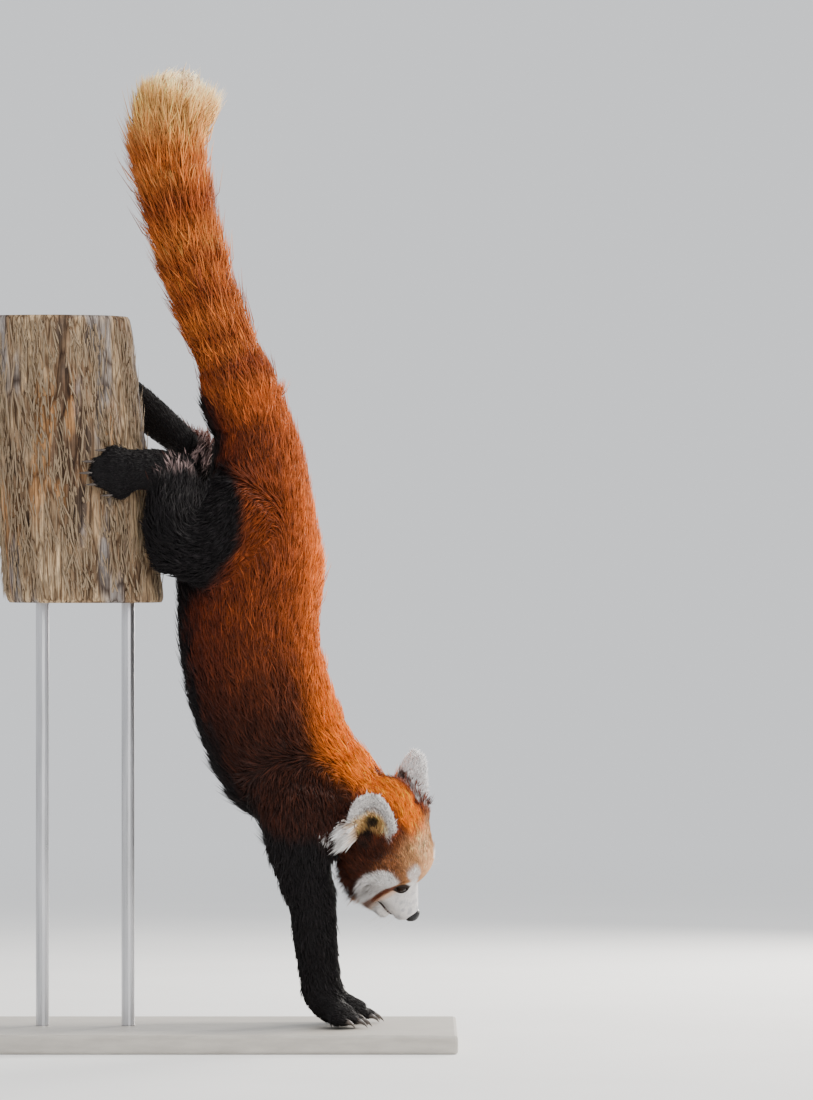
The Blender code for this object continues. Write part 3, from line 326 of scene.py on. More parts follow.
def outward(obj):
    shape = bmesh.new()
    shape.from_mesh(obj.data)
    bmesh.ops.recalc_face_normals(shape, faces=shape.faces)
    shape.to_mesh(obj.data)
    shape.free()
    return obj


def globe(name, centre, radii, segments=32, frame_of=None):
    shape = bmesh.new()
    bmesh.ops.create_uvsphere(shape, u_segments=segments, v_segments=segments // 2, radius=1.0)
    bmesh.ops.scale(shape, vec=radii, verts=shape.verts)
    place = Matrix.Translation(centre)
    bmesh.ops.transform(shape, matrix=(frame_of or Matrix()) @ place, verts=shape.verts)
    mesh = bpy.data.meshes.new(name)
    shape.to_mesh(mesh)
    shape.free()
    return new_object(name, mesh)


def shade_smooth(obj):
    obj.data.polygons.foreach_set("use_smooth", np.ones(len(obj.data.polygons), bool))
    obj.data.update()
    return obj


# Frames and lines that the coat follows


def head_frame():
    forward = NOSE_WARD.normalized()
    right = (RIGHT_WARD - forward * RIGHT_WARD.dot(forward)).normalized()
    up = right.cross(forward)
    return Matrix.Translation(HEAD_CENTRE) @ Matrix((right, forward, up)).transposed().to_4x4()


HEAD = head_frame()
HEAD_TURN = np.array(HEAD.to_3x3())
HEAD_PLACE = np.array(HEAD.translation)


def in_head(spots):
    """World points in the head's own frame."""
    return (spots - HEAD_PLACE) @ HEAD_TURN


def ear_axes(side):
    """Root, way up, width and opening of an ear, in the head's frame. Side is 1 on the panda's right."""
    root, up, opening = (Vector((side * way.x, way.y, way.z)) for way in EARS[side])
    up.normalize()
    opening = (opening - up * opening.dot(up)).normalized()
    return root, up, up.cross(opening) * side, opening


def ear_places(spots, side):
    """Height, width and stand-off of world points in an ear's own axes, the last from its cupped middle."""
    root, up, across, opening = (np.array(way) for way in ear_axes(side))
    local = in_head(spots) - root
    rise, wide, out = local @ up, local @ across, local @ opening
    v = np.clip(rise / EAR_LENGTH, 0, 1)
    cup = -EAR_CUP * (1 - np.clip(wide / EAR_HALF_WIDTH, -1, 1) ** 2) * (1 - 0.85 * v**2) + 0.004 * v
    return rise, wide, out - cup


def ear_hole_distance(spots):
    """How far world points are from the hole of the nearer ear, measured over the ear's face."""
    found = np.full(len(spots), np.inf)
    for side in (-1, 1):
        rise, wide, _ = ear_places(spots, side)
        here = in_head(spots)[:, 0] * side > 0
        found[here] = np.hypot(wide - EAR_HOLE[0], rise - EAR_HOLE[1])[here]
    return found


def trunk_axis(z):
    return Vector((TRUNK_MIDDLE_X + (z - TRUNK_MIDDLE_Z) * TRUNK_LEAN, 0.0, z))


def on_trunk(angle, z, stand_off, side):
    turn = math.radians(angle) * side
    return trunk_axis(z) + Vector((math.cos(turn), math.sin(turn), 0)) * (TRUNK_RADIUS + stand_off)


EYE_MIDDLE = np.abs(np.array(HEAD.inverted() @ (sum(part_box("eye_right"), Vector()) / 2)))
TAIL_RUN = smooth_run(TAIL, 8)
TAIL_LINE = np.column_stack((TAIL_RUN[:, 0], np.zeros(len(TAIL_RUN)), TAIL_RUN[:, 1]))
NOSE_PLACE = np.array(HEAD @ NOSE_CENTRE)
LINES = {"tail": TAIL_LINE, "spine": smooth_run(SPINE[::-1], 5)}
LINES["bark"] = np.array([tuple(trunk_axis(z)) for z in np.linspace(TRUNK_LOW, TRUNK_HIGH, 5)])
for which, way in SIDES:
    LINES["arm_" + which] = smooth_run([(x, way * y, z) for x, y, z in ARM], 5)
    LINES["leg_" + which] = smooth_run([(x, way * y, z) for x, y, z in LEGS[way]], 5)
    foot_line = [tuple(on_trunk(angle, z, 0.018, way)) for angle, z in FEET[way]]
    LINES["foot_" + which] = smooth_run(foot_line, 5)


def line_for(node):
    """The line that the hair of a node runs along, by the node's name."""
    for part, line in (("arm", "arm"), ("hand", "arm"), ("thigh", "leg"), ("shank", "leg"), ("foot", "foot")):
        if part in node:
            return f"{line}_{node.rsplit('_', 1)[1]}"
    return node if node in ("tail", "bark") else "spine"


def along(line, spots):
    """For each point: its share of the line, the way that the line runs there, and the offset from it."""
    best = np.full(len(spots), np.inf)
    share = np.zeros(len(spots))
    way = np.zeros_like(spots)
    offset = np.zeros_like(spots)
    count = len(line) - 1
    for i in range(count):
        step = line[i + 1] - line[i]
        t = np.clip((spots - line[i]) @ step / (step @ step), 0, 1)
        away = spots - (line[i] + t[:, None] * step)
        distance = (away**2).sum(1)
        nearer = distance < best
        best[nearer] = distance[nearer]
        share[nearer] = (i + t[nearer]) / count
        way[nearer] = step / np.linalg.norm(step)
        offset[nearer] = away[nearer]
    return share, way, offset


# Toes and claws


def toes():
    """Start of each claw, the way ahead and the way down, as the solids have them."""
    found = []
    for which, side in SIDES:
        reach = HAND_REACH[side]
        x = ARM[-1][0]
        for i, length in enumerate(TOE_LENGTHS):
            spread = i - 2
            start = Vector((0.125 + 0.022 + reach - 0.002 * spread**2, side * 0.045 + spread * TOE_SPREAD, BASE_HEIGHT + 0.0090))
            ahead = Vector((1.0, 0.16 * spread, 0.0)).normalized()
            found.append((start + ahead * length * 0.8, ahead, Vector((0, 0, -1))))
        angle, z = FEET[side][-1]
        rise = (FEET[side][-1][1] - FEET[side][-2][1]) / 0.030
        clear = 0.0022 + TRUNK_RIDGE_DEPTH
        for i, length in enumerate(TOE_LENGTHS):
            spread = i - 2
            height = z + spread * TOE_SPREAD * 0.95
            off = clear + TOE_RADIUS + 0.0008
            start = on_trunk(angle - 3 - 2.0 * spread**2, height, off, side)
            end = on_trunk(angle + 12 - 2.0 * spread**2, height + rise * 0.012 + 0.0012 * spread, off - 0.0006, side)
            inward = trunk_axis(height) - start
            inward.z = 0.0
            ahead = (end - start).normalized()
            found.append((start + ahead * length * 0.85, ahead, inward.normalized()))
    return found


def claw_path(tip, ahead, down, steps):
    """The middle line of a claw, from inside the toe to its point."""
    across = ahead.cross(down).normalized()
    point = tip - ahead * TOE_RADIUS * 0.2
    path = [point.copy()]
    for k in range(steps):
        share = 3 * (k + 0.5) / steps
        turn = Matrix.Rotation(math.radians(CLAW_BEND) * (share / 3 - 0.02), 3, across)
        point = point + (turn @ ahead) * CLAW_LENGTH / steps
        path.append(point.copy())
    return np.array([tuple(p) for p in path]), across


def without_claws(obj):
    """Draws the solids' claws back into the toes, because they are pieces of their own here."""
    spots = coordinates(obj)
    for tip, ahead, down in toes():
        path, _ = claw_path(tip, ahead, down, 6)
        _, _, offset = along(path, spots)
        tip = np.array(tip)
        away = spots - tip
        far = np.linalg.norm(away, axis=1)
        radius = TOE_RADIUS * 0.80
        pulled = (np.linalg.norm(offset, axis=1) < 0.0045) & (far > radius)
        spots[pulled] = tip + away[pulled] / far[pulled, None] * radius
    move_to(obj, spots)
    return obj


# Skin


def near_nodes(names, spots):
    """For each point the index in names of the nearest CAD node."""
    places, owners = [], []
    for index, name in enumerate(names):
        node = NODES[name]
        corners = coordinates(node)
        middles = np.array([tuple(polygon.center) for polygon in node.data.polygons])
        places += [corners, middles]
        owners += [np.full(len(corners) + len(middles), index)]
    places, owners = np.vstack(places), np.concatenate(owners)
    tree = KDTree(len(places))
    for i, place in enumerate(places):
        tree.insert(place, i)
    tree.balance()
    return np.array([owners[tree.find(spot)[1]] for spot in spots])


def edges_of(obj):
    ends = np.empty(len(obj.data.edges) * 2, np.int32)
    obj.data.edges.foreach_get("vertices", ends)
    return ends.reshape(-1, 2)


def averaged(values, ends, rounds, keep=0.4):
    """Values at vertices, mixed with their neighbours' that many times."""
    values = values.astype(float)
    count = len(values)
    degree = np.bincount(ends.ravel(), minlength=count)[:, None].clip(1)
    flat = values.reshape(count, -1)
    for _ in range(rounds):
        total = np.empty_like(flat)
        for c in range(flat.shape[1]):
            total[:, c] = np.bincount(ends[:, 0], flat[ends[:, 1], c], count)
            total[:, c] += np.bincount(ends[:, 1], flat[ends[:, 0], c], count)
        flat = keep * flat + (1 - keep) * total / degree
    return flat.reshape(values.shape)


def depth_for(node):
    for part, depth in COAT_DEPTH.items():
        if node.startswith(part):
            return depth
    return 0.005


def shrunk(obj, depth):
    move_to(obj, coordinates(obj) - normals_of(obj) * np.reshape(depth, (-1, 1)))
    return obj


def head_shape():
    """The head in its own frame, with orbits and lids, and the middles of its eyes."""
    pieces = [globe("mass", centre, radii) for centre, radii in HEAD_MASSES]
    for rows in (MUZZLE, JAW):
        run = smooth_run(rows, 4)
        path = np.column_stack((np.zeros(len(run)), run[:, 0], run[:, 1]))
        pieces.append(tube("snout", path, (1.0, 0.0, 0.0), run[:, 2], run[:, 3]))
    head = remeshed(joined("head_shape", pieces), 0.0016, 14)
    eyes, lids = {}, []
    for name, side in SIDES:
        tree = BVHTree.FromObject(head, bpy.context.evaluated_depsgraph_get())
        spot = tree.ray_cast(Vector((-side * EYE_PLACE[0], 0.2, EYE_PLACE[1])), Vector((0, -1, 0)))[0]
        out = Vector((-side * EYE_OUT.x, EYE_OUT.y, EYE_OUT.z)).normalized()
        boolean(head, globe("orbit", spot + out * (ORBIT_RADIUS - ORBIT_DEPTH), (ORBIT_RADIUS,) * 3), "DIFFERENCE")
        root, up, across, opening = ear_axes(-side)
        turn = Matrix((across, up, opening)).transposed().to_4x4()
        place = Matrix.Translation(root + up * EAR_BOWL_UP + opening * EAR_BOWL_OUT) @ turn
        boolean(head, outward(globe("bowl", (0, 0, 0), EAR_BOWL, 32, place)), "DIFFERENCE")
        low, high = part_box("eye_" + name)
        eyes[name] = (HEAD.inverted() @ ((low + high) / 2), out)
        lids.append(globe("lids", eyes[name][0], (EYE_RADIUS + 0.0018,) * 3))
    return head, lids, eyes


def ear_shape(side):
    """A thin, cupped ear in the head's frame."""
    root, up, across, opening = ear_axes(side)
    columns, rows = 24, 20
    spots, faces = [], []
    for j in range(rows + 1):
        rise = -EAR_SINK + (EAR_LENGTH * 0.98 + EAR_SINK) * j / rows
        v = max(rise / EAR_LENGTH, 0.0)
        half = (EAR_HALF_WIDTH - 0.001) * math.sqrt(max(1 - v**2.3, 0.0)) + 0.002
        for i in range(columns + 1):
            u = 2 * i / columns - 1
            back = EAR_CUP * (1 - u * u) * (1 - 0.85 * v**2) - 0.004 * v
            spots.append(root + up * rise + across * u * half - opening * back)
    wide = columns + 1
    for j in range(rows):
        for i in range(columns):
            a = j * wide + i
            faces.append((a, a + 1, a + wide + 1, a + wide))
    ear = mesh_of("ear_shape", spots, faces)
    shell = ear.modifiers.new("shell", "SOLIDIFY")
    shell.thickness, shell.offset = 0.0036, 0.0
    return outward(applied(ear))


def build_skin():
    """One skin under the coat, and the place of each eye in the head's frame."""
    flesh = [n for n in NODES if n not in ("tail", "nose", "ear_left", "ear_right", "eye_left", "eye_right")]
    flesh = [n for n in flesh if not n.startswith(("stand_", "perch"))]
    body = without_claws(joined("body_shape", [NODES[n] for n in flesh]))
    bpy.context.view_layer.update()
    move_to(body, coordinates(body) + normals_of(body) * 0.0004)
    body = remeshed(body, 0.0030, 6)
    owners = near_nodes(flesh, coordinates(body))
    depth = np.array([depth_for(flesh[i]) for i in owners])
    depth = averaged(depth, edges_of(body), 12)
    shrunk(body, depth)
    head, lids, eyes = head_shape()
    local = coordinates(head)
    face = np.clip((local[:, 1] - 0.010) / 0.030, 0, 1)
    shrunk(head, 0.0062 - 0.0040 * face)
    head = remeshed(joined("head_shape", [head, *lids]), 0.0014, 5)
    ears = [ear_shape(side) for _, side in SIDES]
    for piece in (head, *ears):
        piece.data.transform(HEAD)
    inner = TAIL_LINE[0] - (TAIL_LINE[1] - TAIL_LINE[0]) / np.linalg.norm(TAIL_LINE[1] - TAIL_LINE[0]) * 0.03
    line = np.vstack((inner, TAIL_LINE[:TAIL_CORE_END]))
    radii = np.concatenate(((0.030,), TAIL_RUN[:TAIL_CORE_END, 2] * TAIL_CORE_SHARE))
    share = np.linspace(0, 1, len(radii))
    radii = radii * (1 + 0.20 * share**3)
    radii = radii + (0.0365 - radii) * np.exp(-((share / 0.10) ** 2))
    tail = tube("tail_shape", line, (0.0, 1.0, 0.0), radii, radii)
    skin = remeshed(joined("skin", [body, head, tail, *ears]), 0.0018, 2)
    for name, side in SIDES:
        centre = HEAD @ eyes[name][0]
        socket = globe("socket", centre, (EYE_RADIUS + 0.0002,) * 3)
        boolean(skin, socket, "DIFFERENCE")
        boolean(skin, lid_opening(*eyes[name]), "DIFFERENCE")
    thin = skin.modifiers.new("thin", "DECIMATE")
    guard = skin.vertex_groups.new(name="body")
    away = np.linalg.norm(in_head(coordinates(skin)), axis=1)
    guard.add([int(i) for i in np.nonzero(away > 0.10)[0]], 1.0, "REPLACE")
    thin.vertex_group, thin.ratio = "body", 0.45
    applied(skin)
    skin.vertex_groups.clear()
    return largest(skin), eyes


def almond(outward_way, sides):
    """Points of the opening between the lids, about the middle of the eye, in the head's frame."""
    level = Vector((0, 0, 1)).cross(outward_way).normalized()
    tilt = Matrix.Rotation(math.radians(LID_TILT) * (1 if outward_way.x > 0 else -1), 3, outward_way)
    level = tilt @ level
    up = outward_way.cross(level)
    points = []
    for k in range(sides):
        turn = math.tau * k / sides
        height = LID_HALF_HEIGHT * math.sin(turn) * abs(math.sin(turn)) ** 0.30
        points.append(level * LID_HALF_LENGTH * math.cos(turn) + up * height)
    return points


def lid_opening(centre, outward_way):
    """An almond-shaped cutter from the middle of the eye out between the lids, in the world's frame."""
    sides = 36
    spots = []
    for depth in (0.0, EYE_RADIUS * 2.2):
        spots += [HEAD @ (centre + point + outward_way * depth) for point in almond(outward_way, sides)]
    faces = [(k, (k + 1) % sides, sides + (k + 1) % sides, sides + k) for k in range(sides)]
    faces += [tuple(range(sides))[::-1], tuple(range(sides, 2 * sides))]
    return outward(mesh_of("opening", spots, faces))


# Colours and markings. All are linear RGB, and read from where a point is on the body.


def mix(a, b, share):
    return a + (b - a) * np.reshape(np.clip(share, 0, 1), (-1, 1))


def rgb(*values):
    return np.array(values, float)[None, :]


def noise(spots, scale, seed=0):
    """Smooth noise from -1 to 1 at points in space."""
    dice = np.random.default_rng(100 + seed)
    total = np.zeros(len(spots))
    for octave in range(3):
        for _ in range(4):
            way = dice.normal(size=3)
            way *= scale * 1.9**octave / np.linalg.norm(way)
            total += np.sin(spots @ way + dice.uniform(0, math.tau)) / 1.6**octave
    return total / 4.2


def step(value, low, high):
    t = np.clip((value - low) / (high - low), 0, 1)
    return t * t * (3 - 2 * t)


def oval(spots, centre, radii):
    """Under 1 inside the oval, more outside."""
    return np.sqrt((((spots - centre) / radii) ** 2).sum(1))


RUST = rgb(0.230, 0.044, 0.008)
RUST_LIGHT = rgb(0.45, 0.095, 0.012)
RUST_DARK = rgb(0.120, 0.020, 0.006)
BLACK = rgb(0.0065, 0.0048, 0.0055)
WHITE = rgb(0.88, 0.84, 0.82)
CREAM = rgb(1.00, 0.58, 0.23)
TAN = rgb(0.62, 0.31, 0.135)
BROWN = rgb(0.240, 0.088, 0.034)
NAPE = rgb(1.00, 0.215, 0.006)
MAROON = rgb(0.170, 0.032, 0.008)
UMBER = rgb(0.055, 0.014, 0.006)

# Height on the tail and how light the coat is there, from the rump to the tip. The lightest values at the tip are
# partly painted glow of the light behind it.
RINGS = np.array(
    (
        (0.610, 0.10),
        (0.670, 0.50),
        (0.713, 0.02),
        (0.732, 0.68),
        (0.7445, 0.04),
        (0.763, 0.78),
        (0.788, 0.00),
        (0.810, 0.82),
        (0.823, 0.00),
        (0.846, 0.88),
        (0.884, 0.00),
        (0.919, 0.92),
        (0.934, 0.35),
        (0.950, 0.86),
        (0.970, 0.94),
        (1.000, 1.02),
        (1.035, 1.26),
    )
)


def tail_colour(spots):
    _, _, offset = along(TAIL_LINE, spots)
    height = (spots - offset)[:, 2] + 0.004 * noise(spots, 160, 1)
    light = np.interp(height, RINGS[:, 0], RINGS[:, 1])
    colour = mix(rgb(0.200, 0.030, 0.006), rgb(0.80, 0.225, 0.034), light)
    # Golden, then pinkish cream at the very tip: partly its own pale fur, partly painted glow of the light behind it.
    colour = mix(colour, rgb(0.92, 0.52, 0.17), (light - 0.80) / 0.25)
    return mix(colour, rgb(0.92, 0.76, 0.58), (light - 1.02) / 0.30)


def body_colour(spots):
    """Dark rust flanks under a bright back and nape, and a black belly. The dark flanks and the near-black chest are
    partly the coat's own colour and partly painted shade.
    """
    _, way, offset = along(LINES["spine"], spots)
    dorsal = np.cross(np.broadcast_to((0.0, 1.0, 0.0), way.shape), way)
    reach = np.linalg.norm(offset, axis=1).clip(0.01)
    back = (offset * dorsal).sum(1) / reach
    speckle = noise(spots, 300, 2)
    # Darker from the back round to the belly: partly the coat's own colours, partly painted shade on the flanks.
    colour = mix(RUST_DARK, RUST, step(back + 0.35 * speckle, -0.80, 0.10))
    colour = mix(colour, RUST_LIGHT, step(back + 0.25 * speckle, 0.30, 1.05))
    # Near-black low on the body by the head: partly the black chest, partly painted shade.
    shoulder_black_and_shade = step(-spots[:, 2], -0.480, -0.300) * (1 - step(back + 0.20 * speckle, 0.45, 0.95))
    colour = mix(colour, rgb(0.030, 0.008, 0.004), 0.94 * shoulder_black_and_shade)
    nape = step(spots[:, 0], 0.095, 0.165) * step(back + 0.10 * speckle, 0.12, 0.70)
    colour = mix(colour, NAPE, nape)
    root = step(spots[:, 2], 0.640, 0.680) * step(back, -0.9, -0.2)
    colour = mix(colour, rgb(0.50, 0.110, 0.015), 0.8 * root)
    return mix(colour, BLACK, 1 - step(back + 0.10 * speckle, -0.96, -0.70))


def black_share(spots):
    """Legs, chest and throat are black."""
    wave = 0.010 * noise(spots, 90, 3)
    line = 0.222 - 0.25 * (spots[:, 0] - 0.10) + wave
    arm = 1 - step(spots[:, 2], line - 0.010, line + 0.012)
    thigh = oval(spots * (1, 0, 1), (-0.012, 0.0, 0.553), (0.060, 1.0, 0.082)) + wave * 10
    outer = step(np.abs(spots[:, 1]), 0.012, 0.030)
    leg = (1 - step(thigh, 0.86, 1.08)) * outer
    return np.maximum(arm, leg)


def head_colour(spots):
    """The mask: white muzzle, brow spots and cheeks, rust stripes from the eyes, tan forehead, orange crown."""
    local = in_head(spots)
    x, y, z = np.abs(local[:, 0]), local[:, 1], local[:, 2]
    spot = np.column_stack((x, y, z))
    wave = noise(spots, 260, 4)
    # Maroon, brown and umber darken the crown toward the ears: partly the head's own dark red-brown, partly painted
    # shade round the ears' bases.
    crown = mix(NAPE, MAROON, step(x + 0.002 * wave, 0.010, 0.024))
    # Paler cream-tan down the middle of the forehead: partly a paler marking, partly painted rim light along the
    # head's outline.
    forehead = mix(rgb(0.88, 0.50, 0.27), TAN, step(x, 0.004, 0.020))
    forehead = mix(forehead, BROWN, step(x + 0.002 * wave, 0.020, 0.042))
    colour = mix(crown, forehead, step(y + 0.15 * x + 0.003 * wave, -0.014, 0.014))
    edge = 0.050 + 0.35 * y.clip(-0.03, 0.02)
    colour = mix(colour, UMBER, step(x + 0.002 * wave, edge - 0.008, edge + 0.004))
    side = step(-z, -0.016, 0.004) * np.maximum(step(x, 0.012, 0.030), step(-z, 0.0, 0.020))
    side *= 1 - step(y, 0.034, 0.050)
    colour = mix(colour, UMBER, side)
    below = 0.013 - z
    stripe = 0.0430 + 0.10 * below + 2.2 * below**2
    stripe = np.where(z > 0.013, 0.0430 - 0.22 * (z - 0.013), stripe) + 0.0007 * wave
    bridge = 0.015 * step(z, 0.010, 0.026) * (1 - step(x, 0.004, 0.020))
    colour = mix(colour, WHITE, step(y - stripe - bridge, 0.0012, 0.0036))
    brow = oval(spot, (0.0215, 0.0355, 0.0340), (0.0090, 0.0105, 0.0085)) + 0.12 * wave
    colour = mix(colour, rgb(0.84, 0.74, 0.69), 1 - step(brow, 0.75, 1.10))
    cheek_top = 0.0122 + np.where(z > 0.006, 24.0, 12.0) * (z - 0.006) ** 2 + 0.0012 * wave
    cheek = step(y - cheek_top, -0.0016, 0.0016) * (1 - step(y - stripe, -0.0060, -0.0030))
    cheek *= (1 - step(z, 0.0200, 0.0240)) * step(x, 0.010, 0.022)
    colour = mix(colour, WHITE, cheek)
    beside = step(x, 0.010, 0.018) * step(z, -0.062, -0.048) * (1 - step(z, 0.008, 0.014))
    peach = 1 - step(np.abs(y - stripe - 0.0020), 0.0030, 0.0070)
    colour = mix(colour, rgb(0.80, 0.44, 0.24), 0.60 * peach * beside)
    tear = 1 - step(np.abs(y - stripe + 0.0014), 0.0016, 0.0042)
    colour = mix(colour, rgb(0.110, 0.022, 0.007), 0.97 * tear * beside)
    mottle = step(noise(spots, 620, 13), -0.1, 0.7) * step(y, 0.050, 0.068)
    colour = mix(colour, rgb(0.36, 0.37, 0.42), 0.55 * mottle)
    lids = np.linalg.norm(spot - EYE_MIDDLE, axis=1)
    colour = mix(colour, rgb(0.030, 0.018, 0.014), 1 - step(lids, 0.0098, 0.0114))
    throat = step(-z, 0.040, 0.050) * (1 - step(y, 0.030, 0.050))
    colour = mix(colour, rgb(0.020, 0.010, 0.008), throat)
    for turned in (-1, 1):
        rise, wide, out = ear_places(spots, turned)
        place = np.column_stack((wide, rise))
        near = step(out, -0.012, -0.004) * step(turned * local[:, 0], 0.010, 0.020)
        bowl = (1 - step(oval(place, (0.000, 0.006), (0.0235, 0.0215)), 0.85, 1.05)) * step(rise, -0.0085, -0.0035)
        bowl *= 1 - step(out, 0.008, 0.013)
        # The dark patch on the head in the gap under the ear's base is painted shade.
        gap = 1 - step(oval(place, (-0.0075, -0.0100), (0.0100, 0.0060)), 0.6, 1.2)
        colour = mix(colour, ear_inside(rise, wide, spots), bowl * near)
        colour = mix(colour, rgb(0.022, 0.010, 0.007), gap * near)
    return colour


def ear_inside(rise, wide, spots):
    """Cream round the ear's opening, which is painted dark as its shade, then white out to the rim."""
    across, high = wide - EAR_HOLE[0], rise - EAR_HOLE[1]
    reach = np.hypot(across, high) + 0.0016 * noise(spots, 260, 5)
    forward = np.clip(-(0.8 * across + 0.6 * high) / 0.020, 0, 1)
    # The dark middle is painted shade of the ear's opening.
    colour = mix(rgb(0.030, 0.020, 0.012), rgb(0.56, 0.33, 0.12), step(reach, 0.0050, 0.0090))
    colour = mix(colour, CREAM, step(reach, 0.0085, 0.0135))
    return mix(colour, WHITE, step(reach - 0.007 * forward, 0.0135, 0.0205))


def lock_colour(spots, share):
    """The locks at an ear's lower edge: cream at the root, then white."""
    return mix(np.repeat(CREAM, len(spots), axis=0), WHITE, step(share + 0.1 * noise(spots, 200, 12), 0.20, 0.62))


def ear_colour(spots, side):
    rise, wide, out = ear_places(spots, side)
    inside = ear_inside(rise, wide, spots)
    patch = oval(np.column_stack((wide, rise)), (0.0, 0.016), (0.015, 0.017)) + 0.15 * noise(spots, 200, 6)
    behind = mix(rgb(0.030, 0.014, 0.012), WHITE, step(patch, 0.80, 1.10))
    behind = mix(rgb(0.62, 0.16, 0.03), behind, step(rise, -0.004, 0.006))
    return mix(behind, inside, step(out, -0.0010, 0.0018))


def bark_colour(spots):
    """Weathered bark in plates of tan, orange-brown and grey."""
    tone, warm = noise(spots * (1, 1, 0.22), 120, 7), noise(spots * (1, 1, 0.30), 70, 8)
    grey = noise(spots * (1, 1, 0.18), 95, 11)
    colour = mix(rgb(0.240, 0.155, 0.092), rgb(0.56, 0.41, 0.25), step(tone, -0.55, 0.60))
    colour = mix(colour, rgb(0.50, 0.245, 0.090), 0.65 * step(warm, 0.05, 0.65))
    colour = mix(colour, rgb(0.255, 0.245, 0.250), 0.80 * step(grey, 0.20, 0.60))
    return mix(colour, rgb(0.060, 0.044, 0.036), 0.8 * step(-tone, 0.45, 0.80))


def coat_colour(node, spots):
    """The colour of the coat's tips at points over that node."""
    if node == "bark":
        return bark_colour(spots)
    if node.startswith("ear"):
        return ear_colour(spots, 1 if node.endswith("right") else -1)
    if node == "head":
        return head_colour(spots)
    if node == "tail":
        return tail_colour(spots)
    if node.startswith(("foot", "hand")):
        return np.repeat(BLACK, len(spots), axis=0)
    colour = mix(body_colour(spots), BLACK, black_share(spots))
    if node.startswith(("thigh", "shank")):
        hock = step(spots[:, 2], 0.598, 0.618) * step(spots[:, 0], -0.062, -0.040) * step(-spots[:, 0], -0.020, 0.0)
        colour = mix(colour, rgb(0.62, 0.43, 0.41), 0.75 * hock * step(noise(spots, 420, 9), -0.3, 0.4))
    return colour


# An unwrap of the skin's own shape: a cell of the map for each part, by its length and the angle round it

CELLS = {
    "bark": (0.01, 0.01, 0.98, 0.98),
    "spine": (0.01, 0.01, 0.48, 0.46),
    "tail": (0.51, 0.01, 0.48, 0.38),
    "head": (0.01, 0.49, 0.38, 0.50),
    "arm_right": (0.41, 0.49, 0.13, 0.28),
    "arm_left": (0.56, 0.49, 0.13, 0.28),
    "leg_right": (0.71, 0.49, 0.13, 0.28),
    "leg_left": (0.86, 0.49, 0.13, 0.28),
    "foot_right": (0.51, 0.41, 0.22, 0.06),
    "foot_left": (0.76, 0.41, 0.22, 0.06),
    "ear_right": (0.41, 0.79, 0.27, 0.20),
    "ear_left": (0.71, 0.79, 0.27, 0.20),
}


def cell_of(node):
    return node if node == "head" or node.startswith("ear") else line_for(node)


def unwrapped(cell, spots):
    """Length and angle on the part, both from 0 to 1."""
    if cell == "head":
        local = in_head(spots)
        angle = np.arctan2(local[:, 0], -local[:, 2]) / math.tau + 0.5
        return np.clip((local[:, 1] + 0.07) / 0.17, 0, 1), angle
    if cell.startswith("ear"):
        rise, wide, out = ear_places(spots, 1 if cell.endswith("right") else -1)
        half = 0.25 * np.clip(wide / 0.026, -0.96, 0.96)
        return np.clip((rise + 0.02) / 0.075, 0, 1), np.where(out > 0, 0.25 + half, 0.75 + half)
    share, way, offset = along(LINES[cell], spots)
    side = np.cross(way, (0.0, 1.0, 0.0))
    side /= np.linalg.norm(side, axis=1).clip(1e-9)[:, None]
    over = np.cross(side, way)
    angle = np.arctan2((offset * side).sum(1), (offset * over).sum(1)) / math.tau + 0.5
    return share, angle


def on_map(cell, length, angle):
    u, v, wide, high = CELLS[cell]
    return np.column_stack((u + wide * angle, v + high * length))


# The coat


